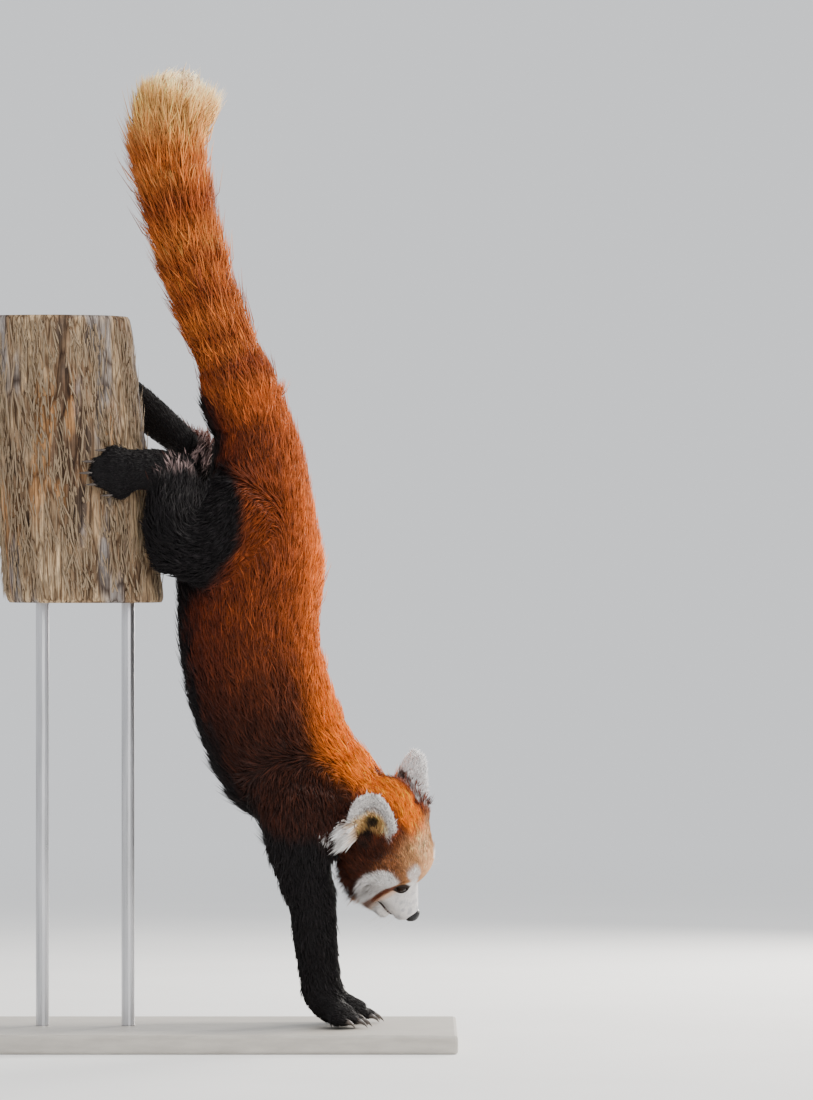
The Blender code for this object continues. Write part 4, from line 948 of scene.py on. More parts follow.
class Coat:
    """The skin's triangles with the node, the lie of the hair and the colour at each vertex."""

    def __init__(self, skin):
        self.names = [n for n in NODES if not n.startswith(("stand_", "perch", "eye", "nose"))]
        self.spots = coordinates(skin)
        self.normals = normals_of(skin)
        self.owner = near_nodes(self.names, self.spots)
        skin.data.calc_loop_triangles()
        corners = np.empty(len(skin.data.loop_triangles) * 3, np.int32)
        skin.data.loop_triangles.foreach_get("vertices", corners)
        self.triangles = corners.reshape(-1, 3)
        a, b, c = (self.spots[self.triangles[:, k]] for k in range(3))
        self.areas = np.linalg.norm(np.cross(b - a, c - a), axis=1) / 2
        self.face_owner = self.owner[self.triangles[:, 0]]
        self.lie = self.lie_of_hair(edges_of(skin))

    def lie_of_hair(self, ends):
        lie = np.zeros_like(self.spots)
        for index, name in enumerate(self.names):
            mine = self.owner == index
            spots = self.spots[mine]
            if name == "head":
                lie[mine] = spots - NOSE_PLACE
            elif name.startswith("ear"):
                side = 1 if name.endswith("right") else -1
                _, up, across, _ = ear_axes(side)
                rise, wide, _ = ear_places(spots, side)
                fan = np.outer(wide - EAR_HOLE[0], across) + np.outer(rise - EAR_HOLE[1] + 0.004, up)
                lie[mine] = fan @ HEAD_TURN.T
            elif name.startswith("hand"):
                lie[mine] = (0.9, 0.0, -0.35)
            else:
                lie[mine] = along(LINES[line_for(name)], spots)[1]
        for _ in range(2):
            lie -= self.normals * (lie * self.normals).sum(1)[:, None]
            lie /= np.linalg.norm(lie, axis=1).clip(1e-6)[:, None]
            lie = averaged(lie, ends, 8)
        lie -= self.normals * (lie * self.normals).sum(1)[:, None]
        return lie / np.linalg.norm(lie, axis=1).clip(1e-6)[:, None]

    def roots(self, names, density):
        """Random roots on those nodes: their spots, normals, lie and node."""
        wanted = [self.names.index(n) for n in names]
        faces = np.nonzero(np.isin(self.face_owner, wanted))[0]
        weights = self.areas[faces] * density(self.spots[self.triangles[faces, 0]])
        count = int(weights.sum())
        faces = RNG.choice(faces, count, p=weights / weights.sum())
        u, v = RNG.random(count), RNG.random(count)
        over = u + v > 1
        u[over], v[over] = 1 - u[over], 1 - v[over]
        shares = np.column_stack((1 - u - v, u, v))
        corners = self.triangles[faces]

        def at(values):
            return (values[corners] * shares[:, :, None]).sum(1)

        spots, normals, lie = at(self.spots), at(self.normals), at(self.lie)
        normals /= np.linalg.norm(normals, axis=1)[:, None]
        lie -= normals * (lie * normals).sum(1)[:, None]
        lie /= np.linalg.norm(lie, axis=1).clip(1e-6)[:, None]
        return spots, normals, lie, self.face_owner[faces]


def clumped(spots, normals, lie, size, dice):
    """The offset of each root from the middle of its clump, across the skin."""
    keys = np.floor((spots + 0.35 * size * dice.normal(size=spots.shape)) / size).astype(np.int64)
    code = keys[:, 0] * 73856093 ^ keys[:, 1] * 19349663 ^ keys[:, 2] * 83492791
    _, group = np.unique(code, return_inverse=True)
    group = group.reshape(-1)
    counts = np.bincount(group).clip(1)
    middle = np.column_stack([np.bincount(group, spots[:, c]) / counts for c in range(3)])
    away = spots - middle[group]
    away -= normals * (away * normals).sum(1)[:, None]
    away[np.linalg.norm(away, axis=1) > 1.5 * size] = 0.0
    return away, group


def tufts(name, roots, names, length, width, lift, rings=2, clump=0.006, gather=0.5, stray=0.20, **shades):
    """A piece of the coat: tapered, bent, three-sided tufts, each one closed."""
    spots, normals, lie, owner = roots
    root_dark, grizzle = shades.get("root_dark", 0.35), shades.get("grizzle", 0.22)
    paint = shades.get("paint")
    count = len(spots)
    dice = np.random.default_rng(len(spots))
    away, group = clumped(spots, normals, lie, clump, dice)
    clump_dice = dice.normal(size=(group.max() + 1, 4))
    side = np.cross(lie, normals)
    turn = stray * dice.normal(size=count) + 0.5 * stray * clump_dice[group, 0]
    way = lie * np.cos(turn)[:, None] + side * np.sin(turn)[:, None]
    side = np.cross(way, normals)
    length = length * np.exp(0.16 * dice.normal(size=count) + 0.08 * clump_dice[group, 1])
    width = width * np.exp(0.2 * dice.normal(size=count))
    angle = np.radians(lift) * np.clip(1 + 0.22 * dice.normal(size=count) + 0.10 * clump_dice[group, 2], 0.3, 1.8)
    shares = {1: (0.0,), 2: (0.0, 0.5), 3: (0.0, 0.38, 0.72)}[rings]
    widths = {1: (1.0,), 2: (0.75, 0.95), 3: (0.75, 1.0, 0.75)}[rings]

    def middle(t):
        bend = angle * (1.25 - 0.65 * t)
        ahead = (length * t * np.cos(bend))[:, None] * way
        rise = (length * t * np.sin(bend))[:, None] * normals
        return spots - normals * 0.0006 + ahead + rise - away * gather * t**1.3

    each = 3 * rings + 1
    points = np.empty((count, each, 3), np.float32)
    for r, (t, wide) in enumerate(zip(shares, widths)):
        centre = middle(t)
        half = (0.5 * width * wide)[:, None]
        points[:, 3 * r] = centre + side * half - normals * half * 0.30
        points[:, 3 * r + 1] = centre + normals * half * 0.55
        points[:, 3 * r + 2] = centre - side * half - normals * half * 0.30
    points[:, -1] = middle(1.0)
    quads = []
    for r in range(rings - 1):
        for k in range(3):
            n = (k + 1) % 3
            quads.append((3 * r + k, 3 * r + n, 3 * r + 3 + n, 3 * r + 3 + k))
    last = 3 * (rings - 1)
    ends = [(last + k, last + (k + 1) % 3, each - 1) for k in range(3)] + [(2, 1, 0)]
    start = np.arange(count)[:, None, None] * each
    quad_loops = (np.array(quads)[None] + start).reshape(-1)
    end_loops = (np.array(ends)[None] + start).reshape(-1)
    loops = np.concatenate((quad_loops, end_loops)).astype(np.int32)
    sizes = np.concatenate((np.full(count * len(quads), 4), np.full(count * len(ends), 3)))
    mesh = bpy.data.meshes.new(name)
    mesh.vertices.add(count * each)
    mesh.vertices.foreach_set("co", points.reshape(-1))
    mesh.loops.add(len(loops))
    mesh.loops.foreach_set("vertex_index", loops)
    mesh.polygons.add(len(sizes))
    starts = np.concatenate(((0,), np.cumsum(sizes)[:-1])).astype(np.int32)
    mesh.polygons.foreach_set("loop_start", starts)
    mesh.polygons.foreach_set("use_smooth", np.ones(len(sizes), bool))
    mesh.update(calc_edges=True)

    # Each tuft is a small patch of the map at its root's place
    uv = np.empty((count, 2))
    for index in np.unique(owner):
        mine = owner == index
        cell = cell_of(names[index])
        uv[mine] = on_map(cell, *unwrapped(cell, spots[mine]))
    patch = np.zeros((each, 2))
    for r, t in enumerate(shares):
        for k in range(3):
            patch[3 * r + k] = (0.0015 * (k - 1) * (1 - 0.5 * t), 0.003 * t - 0.0015)
    patch[-1] = (0.0, 0.0015)
    vertex_uv = (uv[:, None, :] + patch[None]).reshape(-1, 2)
    layer = mesh.uv_layers.new(name="OFBake")
    layer.data.foreach_set("uv", vertex_uv[loops].astype(np.float32).ravel())

    # Colours: darker at the root, partly the hair's own darker base and partly painted shade deep in the coat, and a
    # little different from clump to clump
    tint = np.empty((count, each, 3))
    shade = np.exp(grizzle * dice.normal(size=count) + 0.8 * grizzle * clump_dice[group, 3])
    levels = [root_dark + (1 - root_dark) * min(1.0, t * 1.5) for t in shares]
    if rings == 1:
        levels = [0.5 + 0.5 * root_dark]
    for index in np.unique(owner):
        mine = owner == index
        for r, (t, level) in enumerate(zip((*shares, 1.0), (*levels, 1.20))):
            places = points[mine, min(3 * r + 1, each - 1)].astype(float)
            colour = paint(places, t) if paint else coat_colour(names[index], places)
            pale = np.clip((colour.min(axis=1) - 0.30) / 0.40, 0, 1)[:, None]
            colour = colour * (level + (max(level, PALE_ROOT) - level) * pale)
            tint[mine, 3 * r : 3 * r + 3] = colour[:, None, :]
    tint *= shade[:, None, None]
    store_tint(mesh, tint.reshape(-1, 3))
    return new_object(name, mesh)


def store_tint(mesh, colours):
    layer = mesh.color_attributes.new(name="tint", type="FLOAT_COLOR", domain="POINT")
    full = np.ones((len(colours), 4), np.float32)
    full[:, :3] = np.clip(colours, 0, 1)
    layer.data.foreach_set("color", full.ravel())


# Materials


def nodes_for(name):
    material = bpy.data.materials.new(name)
    material.use_nodes = True
    tree = material.node_tree
    return material, tree, tree.nodes["Principled BSDF"]


def add(tree, kind, **values):
    node = tree.nodes.new(kind)
    for key, value in values.items():
        if key in node.inputs:
            node.inputs[key].default_value = value
        else:
            setattr(node, key, value)
    return node


def ramp(tree, *stops):
    node = tree.nodes.new("ShaderNodeValToRGB")
    while len(node.color_ramp.elements) < len(stops):
        node.color_ramp.elements.new(0.5)
    for element, (place, colour) in zip(node.color_ramp.elements, stops):
        element.position = place
        element.color = (*colour, 1.0)
    return node


def textured(tree, scale, stretch=(1, 1, 1), detail=4.0):
    """Noise in the object's own space, drawn out by stretch."""
    place = add(tree, "ShaderNodeTexCoord")
    mapping = add(tree, "ShaderNodeMapping")
    mapping.inputs["Scale"].default_value = stretch
    tree.links.new(place.outputs["Object"], mapping.inputs["Vector"])
    texture = add(tree, "ShaderNodeTexNoise", Scale=scale, Detail=detail)
    tree.links.new(mapping.outputs["Vector"], texture.inputs["Vector"])
    return texture


def add_bump(tree, shader, height, strength, distance):
    bump = add(tree, "ShaderNodeBump", Strength=strength, Distance=distance)
    tree.links.new(height, bump.inputs["Height"])
    tree.links.new(bump.outputs["Normal"], shader.inputs["Normal"])


def tinted(tree, amount, scale):
    """The tint attribute, varied a little by noise."""
    tint = add(tree, "ShaderNodeAttribute", attribute_name="tint")
    texture = textured(tree, scale)
    spread = add(tree, "ShaderNodeMapRange")
    spread.inputs["To Min"].default_value = 1 - amount
    spread.inputs["To Max"].default_value = 1 + amount
    tree.links.new(texture.outputs["Fac"], spread.inputs["Value"])
    scaled = add(tree, "ShaderNodeVectorMath", operation="SCALE")
    tree.links.new(tint.outputs["Color"], scaled.inputs[0])
    tree.links.new(spread.outputs["Result"], scaled.inputs["Scale"])
    return scaled.outputs["Vector"], texture


def coat_material():
    material, tree, shader = nodes_for("coat")
    colour, _ = tinted(tree, 0.25, 220.0)
    tree.links.new(colour, shader.inputs["Base Color"])
    shader.inputs["Roughness"].default_value = 0.58
    shader.inputs["Specular IOR Level"].default_value = 0.16
    shader.inputs["Sheen Weight"].default_value = 0.02
    shader.inputs["Sheen Roughness"].default_value = 0.45
    return material


def skin_material():
    material, tree, shader = nodes_for("skin")
    colour, texture = tinted(tree, 0.35, 700.0)
    tree.links.new(colour, shader.inputs["Base Color"])
    shader.inputs["Roughness"].default_value = 0.75
    shader.inputs["Specular IOR Level"].default_value = 0.20
    add_bump(tree, shader, texture.outputs["Fac"], 0.6, 0.0008)
    return material


def eye_material():
    material, tree, shader = nodes_for("eyeball")
    texture = textured(tree, 900.0)
    colours = ramp(tree, (0.3, (0.006, 0.003, 0.002)), (0.7, (0.020, 0.008, 0.004)))
    tree.links.new(texture.outputs["Fac"], colours.inputs["Fac"])
    tree.links.new(colours.outputs["Color"], shader.inputs["Base Color"])
    shader.inputs["Roughness"].default_value = 0.08
    shader.inputs["Specular IOR Level"].default_value = 0.12
    return material


def wet_material(name, dark, light, roughness, scale, depth):
    """Bare dark skin with a fine grain, for nose, lids, lips and pads."""
    material, tree, shader = nodes_for(name)
    texture = textured(tree, scale, detail=6.0)
    colours = ramp(tree, (0.35, dark), (0.7, light))
    tree.links.new(texture.outputs["Fac"], colours.inputs["Fac"])
    tree.links.new(colours.outputs["Color"], shader.inputs["Base Color"])
    shader.inputs["Roughness"].default_value = roughness
    shader.inputs["Specular IOR Level"].default_value = 0.20
    add_bump(tree, shader, texture.outputs["Fac"], 0.5, depth)
    return material


def bark_material():
    """Fibrous bark: long fine fibres, darker cracks between plates, grey and tan weathering."""
    material, tree, shader = nodes_for("bark")
    colour, _ = tinted(tree, 0.30, 240.0)
    fibres = textured(tree, 620.0, (1, 1, 0.035), 6.0)
    streak = ramp(tree, (0.34, (0.42, 0.36, 0.32)), (0.52, (0.95, 0.95, 0.95)), (0.70, (1.45, 1.36, 1.26)))
    tree.links.new(fibres.outputs["Fac"], streak.inputs["Fac"])
    place = add(tree, "ShaderNodeTexCoord")
    mapping = add(tree, "ShaderNodeMapping")
    mapping.inputs["Scale"].default_value = (1.0, 1.0, 0.10)
    tree.links.new(place.outputs["Object"], mapping.inputs["Vector"])
    cracks = add(tree, "ShaderNodeTexVoronoi", feature="DISTANCE_TO_EDGE", Scale=135.0)
    tree.links.new(mapping.outputs["Vector"], cracks.inputs["Vector"])
    crack = ramp(tree, (0.0, (0.22, 0.18, 0.16)), (0.10, (0.80, 0.78, 0.76)), (0.30, (1.0, 1.0, 1.0)))
    tree.links.new(cracks.outputs["Distance"], crack.inputs["Fac"])
    shaded = add(tree, "ShaderNodeVectorMath", operation="MULTIPLY")
    tree.links.new(colour, shaded.inputs[0])
    tree.links.new(streak.outputs["Color"], shaded.inputs[1])
    both = add(tree, "ShaderNodeVectorMath", operation="MULTIPLY")
    tree.links.new(shaded.outputs["Vector"], both.inputs[0])
    tree.links.new(crack.outputs["Color"], both.inputs[1])
    tree.links.new(both.outputs["Vector"], shader.inputs["Base Color"])
    shader.inputs["Roughness"].default_value = 0.85
    shader.inputs["Specular IOR Level"].default_value = 0.2
    height = add(tree, "ShaderNodeMath", operation="MULTIPLY")
    tree.links.new(fibres.outputs["Fac"], height.inputs[0])
    tree.links.new(crack.outputs["Color"], height.inputs[1])
    add_bump(tree, shader, height.outputs["Value"], 0.9, 0.0014)
    return material


def sawn_material():
    """End grain: rings round the middle of the trunk and fine saw marks."""
    material, tree, shader = nodes_for("sawn_wood")
    place = add(tree, "ShaderNodeTexCoord")
    mapping = add(tree, "ShaderNodeMapping")
    mapping.inputs["Location"].default_value = (0.145, 0.004, 0.0)
    mapping.inputs["Scale"].default_value = (1.0, 1.0, 0.0)
    tree.links.new(place.outputs["Object"], mapping.inputs["Vector"])
    rings = add(tree, "ShaderNodeTexWave", wave_type="RINGS", rings_direction="SPHERICAL")
    rings.inputs["Scale"].default_value = 38.0
    rings.inputs["Distortion"].default_value = 2.2
    rings.inputs["Detail"].default_value = 3.0
    tree.links.new(mapping.outputs["Vector"], rings.inputs["Vector"])
    colours = ramp(tree, (0.2, (0.30, 0.17, 0.075)), (0.8, (0.56, 0.38, 0.21)))
    tree.links.new(rings.outputs["Fac"], colours.inputs["Fac"])
    tree.links.new(colours.outputs["Color"], shader.inputs["Base Color"])
    shader.inputs["Roughness"].default_value = 0.75
    saw = textured(tree, 120.0, (0.1, 1, 1))
    add_bump(tree, shader, saw.outputs["Fac"], 0.4, 0.0008)
    return material


def stand_material(name, dark, light, roughness, metallic, stretch):
    material, tree, shader = nodes_for(name)
    texture = textured(tree, 160.0, stretch, 6.0)
    colours = ramp(tree, (0.3, dark), (0.7, light))
    tree.links.new(texture.outputs["Fac"], colours.inputs["Fac"])
    tree.links.new(colours.outputs["Color"], shader.inputs["Base Color"])
    spread = add(tree, "ShaderNodeMapRange")
    spread.inputs["To Min"].default_value = roughness - 0.06
    spread.inputs["To Max"].default_value = roughness + 0.08
    tree.links.new(texture.outputs["Fac"], spread.inputs["Value"])
    tree.links.new(spread.outputs["Result"], shader.inputs["Roughness"])
    shader.inputs["Metallic"].default_value = metallic
    add_bump(tree, shader, texture.outputs["Fac"], 0.25, 0.0002)
    return material


def dressed(obj, material, slot, *replaced):
    """Gives a piece its material, rides it on the frame and hides the solids that it stands for."""
    obj.data.materials.clear()
    for one in material if isinstance(material, (list, tuple)) else (material,):
        obj.data.materials.append(one)
    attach(obj, "root")
    if replaced:
        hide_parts(*replaced)
    return obj


# Pieces


def build_coat(skin, eyes):
    """All the coat, in pieces of under 200,000 triangles."""
    coat = Coat(skin)
    fewer = 1.0
    fur = coat_material()
    skin_tint = np.empty((len(coat.spots), 3))
    for index, name in enumerate(coat.names):
        mine = coat.owner == index
        if mine.any():
            level = 0.80 if name == "head" else 0.45
            skin_tint[mine] = coat_colour(name, coat.spots[mine]) * level
    store_tint(skin.data, skin_tint)
    map_skin(skin, coat)
    trunk = ["chest", "belly", "rump"]
    limbs = [n for n in coat.names if n.startswith(("thigh", "shank", "upper_arm", "forearm"))]
    paws = [n for n in coat.names if n.startswith(("foot", "hand"))]
    ears = ["ear_right", "ear_left"]
    eye_middles = [np.array(HEAD @ centre) for centre, _ in eyes.values()]

    def flat(value):
        return lambda spots: np.full(len(spots), value * fewer)

    def eye_distance(spots):
        return np.min([np.linalg.norm(spots - middle, axis=1) for middle in eye_middles], axis=0)

    def lay(name, names, density, most=198000, aim=None, paint=None, **how):
        roots = coat.roots(names, density)
        if aim:
            roots = (roots[0], roots[1], aim(roots[0], roots[1]), roots[3])
        each = 6 * how.get("rings", 2) - 2
        pieces = max(1, math.ceil(len(roots[0]) * each / most))
        order = np.argsort(roots[0][:, 2], kind="stable")
        for i, part in enumerate(np.array_split(order, pieces)):
            chosen = tuple(values[part] for values in roots)
            local = {key: value(chosen[0]) if callable(value) else value for key, value in how.items()}
            local["paint"] = paint
            dressed(tufts(f"{name}_{i + 1}", chosen, coat.names, **local), fur, None)

    def tip_share(spots):
        return step(spots[:, 2], 0.955, 1.000)

    def root_share(spots):
        return 1 - step(spots[:, 2], 0.668, 0.730)

    def tail_length(spots):
        return 0.0365 - 0.0165 * tip_share(spots) - 0.0125 * root_share(spots)

    def tail_lift(spots):
        return 34.0 + 20.0 * tip_share(spots) - 7.0 * root_share(spots)

    def jaw_share(spots):
        local = in_head(spots)
        return step(-local[:, 2], 0.026, 0.040) * (1 - step(local[:, 1], 0.058, 0.074))

    def face_length(spots):
        back = 1 - np.clip((in_head(spots)[:, 1] + 0.005) / 0.058, 0, 1)
        near_eye = np.clip((eye_distance(spots) - 0.0085) / 0.0080, 0.30, 1)
        return (0.0036 + 0.0100 * back + 0.0085 * jaw_share(spots)) * near_eye

    def muzzle_lift(spots):
        return 20.0 + 26.0 * jaw_share(spots)

    def face_width(spots):
        return 0.00036 + 0.036 * face_length(spots)

    def muzzle_share(spots):
        return in_head(spots)[:, 1] > 0.030 + 0.006 * RNG.standard_normal(len(spots))

    def head_density(spots):
        return fewer * ~muzzle_share(spots) * 8.6e3 / face_length(spots).clip(0.0060)

    def muzzle_density(spots):
        bare = (eye_distance(spots) > 0.0104) & (np.linalg.norm(spots - NOSE_PLACE, axis=1) > 0.0092)
        return fewer * bare * muzzle_share(spots) * 2.3e6

    def limb_length(spots):
        return 0.0110 + 0.0055 * step(spots[:, 2], 0.14, 0.24)

    def ear_length(spots):
        hole = ear_hole_distance(spots)
        return 0.0042 + 0.0036 * step(hole, 0.006, 0.020)

    def lock_density(spots):
        total = np.zeros(len(spots))
        for side in (-1, 1):
            rise, wide, out = ear_places(spots, side)
            place = np.column_stack((wide, rise))
            total += (oval(place, LOCK_MIDDLE, (0.0075, 0.0110)) < 1) & (np.abs(out) < 0.012)
        return total * 2.2e6 * fewer

    def lock_aim(spots, normals):
        """The long locks of an ear hang outwards and down, and fan a little from their middle."""
        aim = np.empty_like(spots)
        for side in (-1, 1):
            _, up, across, _ = (np.array(way) for way in ear_axes(side))
            rise, wide, _ = ear_places(spots, side)
            way = np.array((side, 1.0, 1.0)) * LOCK_WAY
            way = way + np.outer(6 * (wide - LOCK_MIDDLE[0]), across) + np.outer(6 * (rise - LOCK_MIDDLE[1]), up)
            here = in_head(spots)[:, 0] * side > 0
            aim[here] = (way @ HEAD_TURN.T)[here]
        return aim / np.linalg.norm(aim, axis=1)[:, None]

    def ruff_share(spots):
        local = in_head(spots)
        turn = np.degrees(np.arctan2(local[:, 2] - RUFF_MIDDLE_Z, np.abs(local[:, 0])))
        along_face = step(local[:, 1], -0.010, 0.008) * (1 - step(local[:, 1], 0.040, 0.056))
        return along_face * step(-turn, -18, 22) * step(turn, -105, -80)

    def ruff_length(spots):
        return 0.0070 + 0.0085 * ruff_share(spots)

    def ruff_density(spots):
        return 820e3 * fewer * ruff_share(spots)

    def ruff_aim(spots, normals):
        """The ruff lies back over the cheek and stands out past the jaw."""
        side = np.sign(in_head(spots)[:, 0])
        way = np.column_stack((side * RUFF_WAY[0], side * 0 + RUFF_WAY[1], side * 0 + RUFF_WAY[2])) @ HEAD_TURN.T
        rise = (way * normals).sum(1)
        way = way + normals * (np.maximum(rise, 0.22) - rise)[:, None]
        return way / np.linalg.norm(way, axis=1)[:, None]

    lay("coat_body", trunk, flat(360e3), length=0.0220, width=0.00130, lift=25.0)
    lay("coat_neck", ["neck"], flat(600e3), length=0.0185, width=0.00120, lift=25.0)
    lay("coat_limbs", limbs, flat(215e3), length=limb_length, width=0.00150, lift=21.0)
    lay("coat_paws", paws, flat(310e3), length=0.0062, width=0.0011, lift=17.0, clump=0.003)
    lay("coat_tail", ["tail"], flat(400e3), length=tail_length, width=0.0016, lift=tail_lift, clump=0.008)
    lay("coat_head", ["head"], head_density, length=face_length, width=face_width, lift=22.0, clump=0.0030, grizzle=0.34)
    ruff = {"clump": 0.004, "grizzle": 0.16, "stray": 0.14}
    lay("coat_ruff", ["head"], ruff_density, aim=ruff_aim, length=ruff_length, width=0.0009, lift=7.0, **ruff)
    fine = {"rings": 1, "clump": 0.0020, "gather": 0.3, "grizzle": 0.12, "root_dark": 0.55}
    lay("coat_muzzle", ["head"], muzzle_density, length=face_length, width=0.00052, lift=muzzle_lift, **fine)
    lay("coat_ears", ears, flat(820e3), length=ear_length, width=0.00080, lift=17.0, clump=0.003, grizzle=0.12)
    lay(
        "coat_ear_locks",
        [*ears, "head"],
        lock_density,
        aim=lock_aim,
        length=0.0235,
        width=0.0013,
        lift=6.0,
        rings=3,
        clump=0.006,
        gather=0.85,
        stray=0.10,
        paint=lock_colour,
    )
    return coat


def map_skin(skin, coat):
    """The skin's own OFBake map. A face belongs to one cell, and its angles don't jump across the seam."""
    mesh = skin.data
    layer = mesh.uv_layers.new(name="OFBake")
    loops = np.empty(len(mesh.loops), np.int32)
    mesh.loops.foreach_get("vertex_index", loops)
    totals = np.empty(len(mesh.polygons), np.int32)
    mesh.polygons.foreach_get("loop_total", totals)
    face_of_loop = np.repeat(np.arange(len(totals)), totals)
    starts = np.concatenate(((0,), np.cumsum(totals)[:-1]))
    owner = coat.owner[loops[starts]][face_of_loop]
    uv = np.zeros((len(loops), 2))
    for index in np.unique(owner):
        mine = owner == index
        cell = cell_of(coat.names[index])
        length, angle = unwrapped(cell, coat.spots[loops[mine]])
        first = np.zeros(len(totals))
        faces = face_of_loop[mine]
        first[faces[::-1]] = angle[::-1]
        gap = angle - first[faces]
        angle = angle - np.round(gap)
        uv[mine] = on_map(cell, length, np.clip(angle, -0.02, 1.02))
    layer.data.foreach_set("uv", uv.astype(np.float32).ravel())


def build_eyes(eyes):
    ball = eye_material()
    rim = wet_material("lid_rim", (0.010, 0.007, 0.006), (0.020, 0.013, 0.011), 0.50, 900.0, 0.0002)
    for name, side in SIDES:
        centre, out = eyes[name]
        eye = globe("eyeball_" + name, centre, (EYE_RADIUS,) * 3, 48, HEAD)
        spots = in_head(coordinates(eye)) - np.array(centre)
        bulge = np.clip((spots @ np.array(out) / EYE_RADIUS - 0.72) / 0.28, 0, 1)
        spots *= (1 + 0.05 * bulge**1.5)[:, None]
        move_to(eye, (spots + np.array(centre)) @ HEAD_TURN.T + HEAD_PLACE)
        dressed(shade_smooth(eye), ball, "eye", "eye_" + name)
        path = []
        for spot in almond(out, 48):
            depth = math.sqrt(max(EYE_RADIUS**2 - spot.length_squared, 0.0))
            path.append(HEAD @ (centre + (spot + out * depth) * 1.08))
        lid = closed_tube("lid_rim_" + name, np.array([tuple(p) for p in path]), 0.00085)
        dressed(shade_smooth(lid), rim, None)


def closed_tube(name, path, radius, sides=8):
    """A ring-shaped tube along a closed path."""
    ahead = np.roll(path, -1, axis=0) - np.roll(path, 1, axis=0)
    ahead /= np.linalg.norm(ahead, axis=1)[:, None]
    middle = path.mean(axis=0)
    side = path - middle
    side -= ahead * (side * ahead).sum(1)[:, None]
    side /= np.linalg.norm(side, axis=1)[:, None]
    up = np.cross(ahead, side)
    turns = np.linspace(0, math.tau, sides, endpoint=False)
    spots = path[:, None] + radius * (
        np.cos(turns)[None, :, None] * side[:, None] + np.sin(turns)[None, :, None] * up[:, None]
    )
    faces = []
    for j in range(len(path)):
        n = (j + 1) % len(path)
        for k in range(sides):
            m = (k + 1) % sides
            faces.append((j * sides + k, j * sides + m, n * sides + m, n * sides + k))
    return outward(mesh_of(name, spots.reshape(-1, 3), faces))


def build_nose():
    """The nose pad, with its nostrils and the groove between them."""
    nose = globe("nose_pad", NOSE_CENTRE, NOSE_RADII, 72, HEAD)
    local = in_head(coordinates(nose)) - np.array(NOSE_CENTRE)
    unit = local / np.array(NOSE_RADII)
    push = np.zeros(len(unit))
    for side in (-1, 1):
        hole = np.sqrt(((unit[:, 0] - side * 0.46) / 0.24) ** 2 + ((unit[:, 2] + 0.10) / 0.20) ** 2)
        hole = np.where(unit[:, 1] > 0, hole, 9)
        push += 0.34 * np.exp(-(hole**2))
        slit = ((unit[:, 0] - side * 0.80) / 0.26) ** 2 + ((unit[:, 2] + 0.34) / 0.10) ** 2
        push += np.where(unit[:, 1] > -0.2, 0.14 * np.exp(-slit), 0)
    push += np.where(unit[:, 1] > 0, 0.10 * np.exp(-((unit[:, 0] / 0.07) ** 2)) * step(-unit[:, 2], -0.4, 0.1), 0)
    local *= (1 - push)[:, None]
    local[:, 2] *= 1 + 0.12 * (local[:, 0] / NOSE_RADII[0]) ** 2
    move_to(nose, (local + np.array(NOSE_CENTRE)) @ HEAD_TURN.T + HEAD_PLACE)
    leather = wet_material("nose_leather", (0.008, 0.008, 0.009), (0.030, 0.028, 0.030), 0.32, 1500.0, 0.0004)
    dressed(shade_smooth(nose), leather, "nose", "nose")


def build_mouth(skin):
    """The dark line between the lips, and the cleft from it up to the nose."""
    tree = BVHTree.FromObject(skin, bpy.context.evaluated_depsgraph_get())
    dark = wet_material("lips", (0.010, 0.006, 0.006), (0.050, 0.022, 0.020), 0.45, 900.0, 0.0003)
    path = []
    middle = Vector((0.0, 0.045, MOUTH_Z + 0.004))
    for k in range(-20, 21):
        share = k / 20
        turn = share * math.pi / 2
        y = MOUTH_BACK + (MOUTH_FRONT - MOUTH_BACK) * math.cos(turn) ** 0.7
        aim = Vector((MOUTH_WIDTH * math.sin(turn), y, MOUTH_Z - MOUTH_DROOP * abs(share) ** 1.5))
        way = (middle - aim).normalized()
        hit = tree.ray_cast(HEAD @ (aim - way * 0.05), HEAD.to_3x3() @ way)[0]
        path.append(tuple(hit) if hit else tuple(HEAD @ aim))
    path = np.array(path)
    for _ in range(3):
        path[1:-1] = (path[:-2] + 2 * path[1:-1] + path[2:]) / 4
    sizes = 0.0016 * np.sin(np.linspace(0.12, math.pi - 0.12, len(path))) ** 0.5
    lips = tube("lip_line", path, tuple(HEAD_TURN[:, 2]), sizes, sizes * 0.9, segments=10)
    dressed(shade_smooth(lips), dark, None)
    cleft = []
    for k in range(12):
        z = NOSE_CENTRE.z - 0.006 + (MOUTH_Z - NOSE_CENTRE.z + 0.006) * k / 11
        hit = tree.ray_cast(HEAD @ Vector((0.0, 0.14, z)), HEAD.to_3x3() @ Vector((0, -1, 0)))[0]
        if hit:
            cleft.append(tuple(hit))
    sizes = np.full(len(cleft), 0.0007)
    dressed(shade_smooth(tube("lip_cleft", cleft, tuple(HEAD_TURN[:, 0]), sizes, sizes, segments=8)), dark, None)


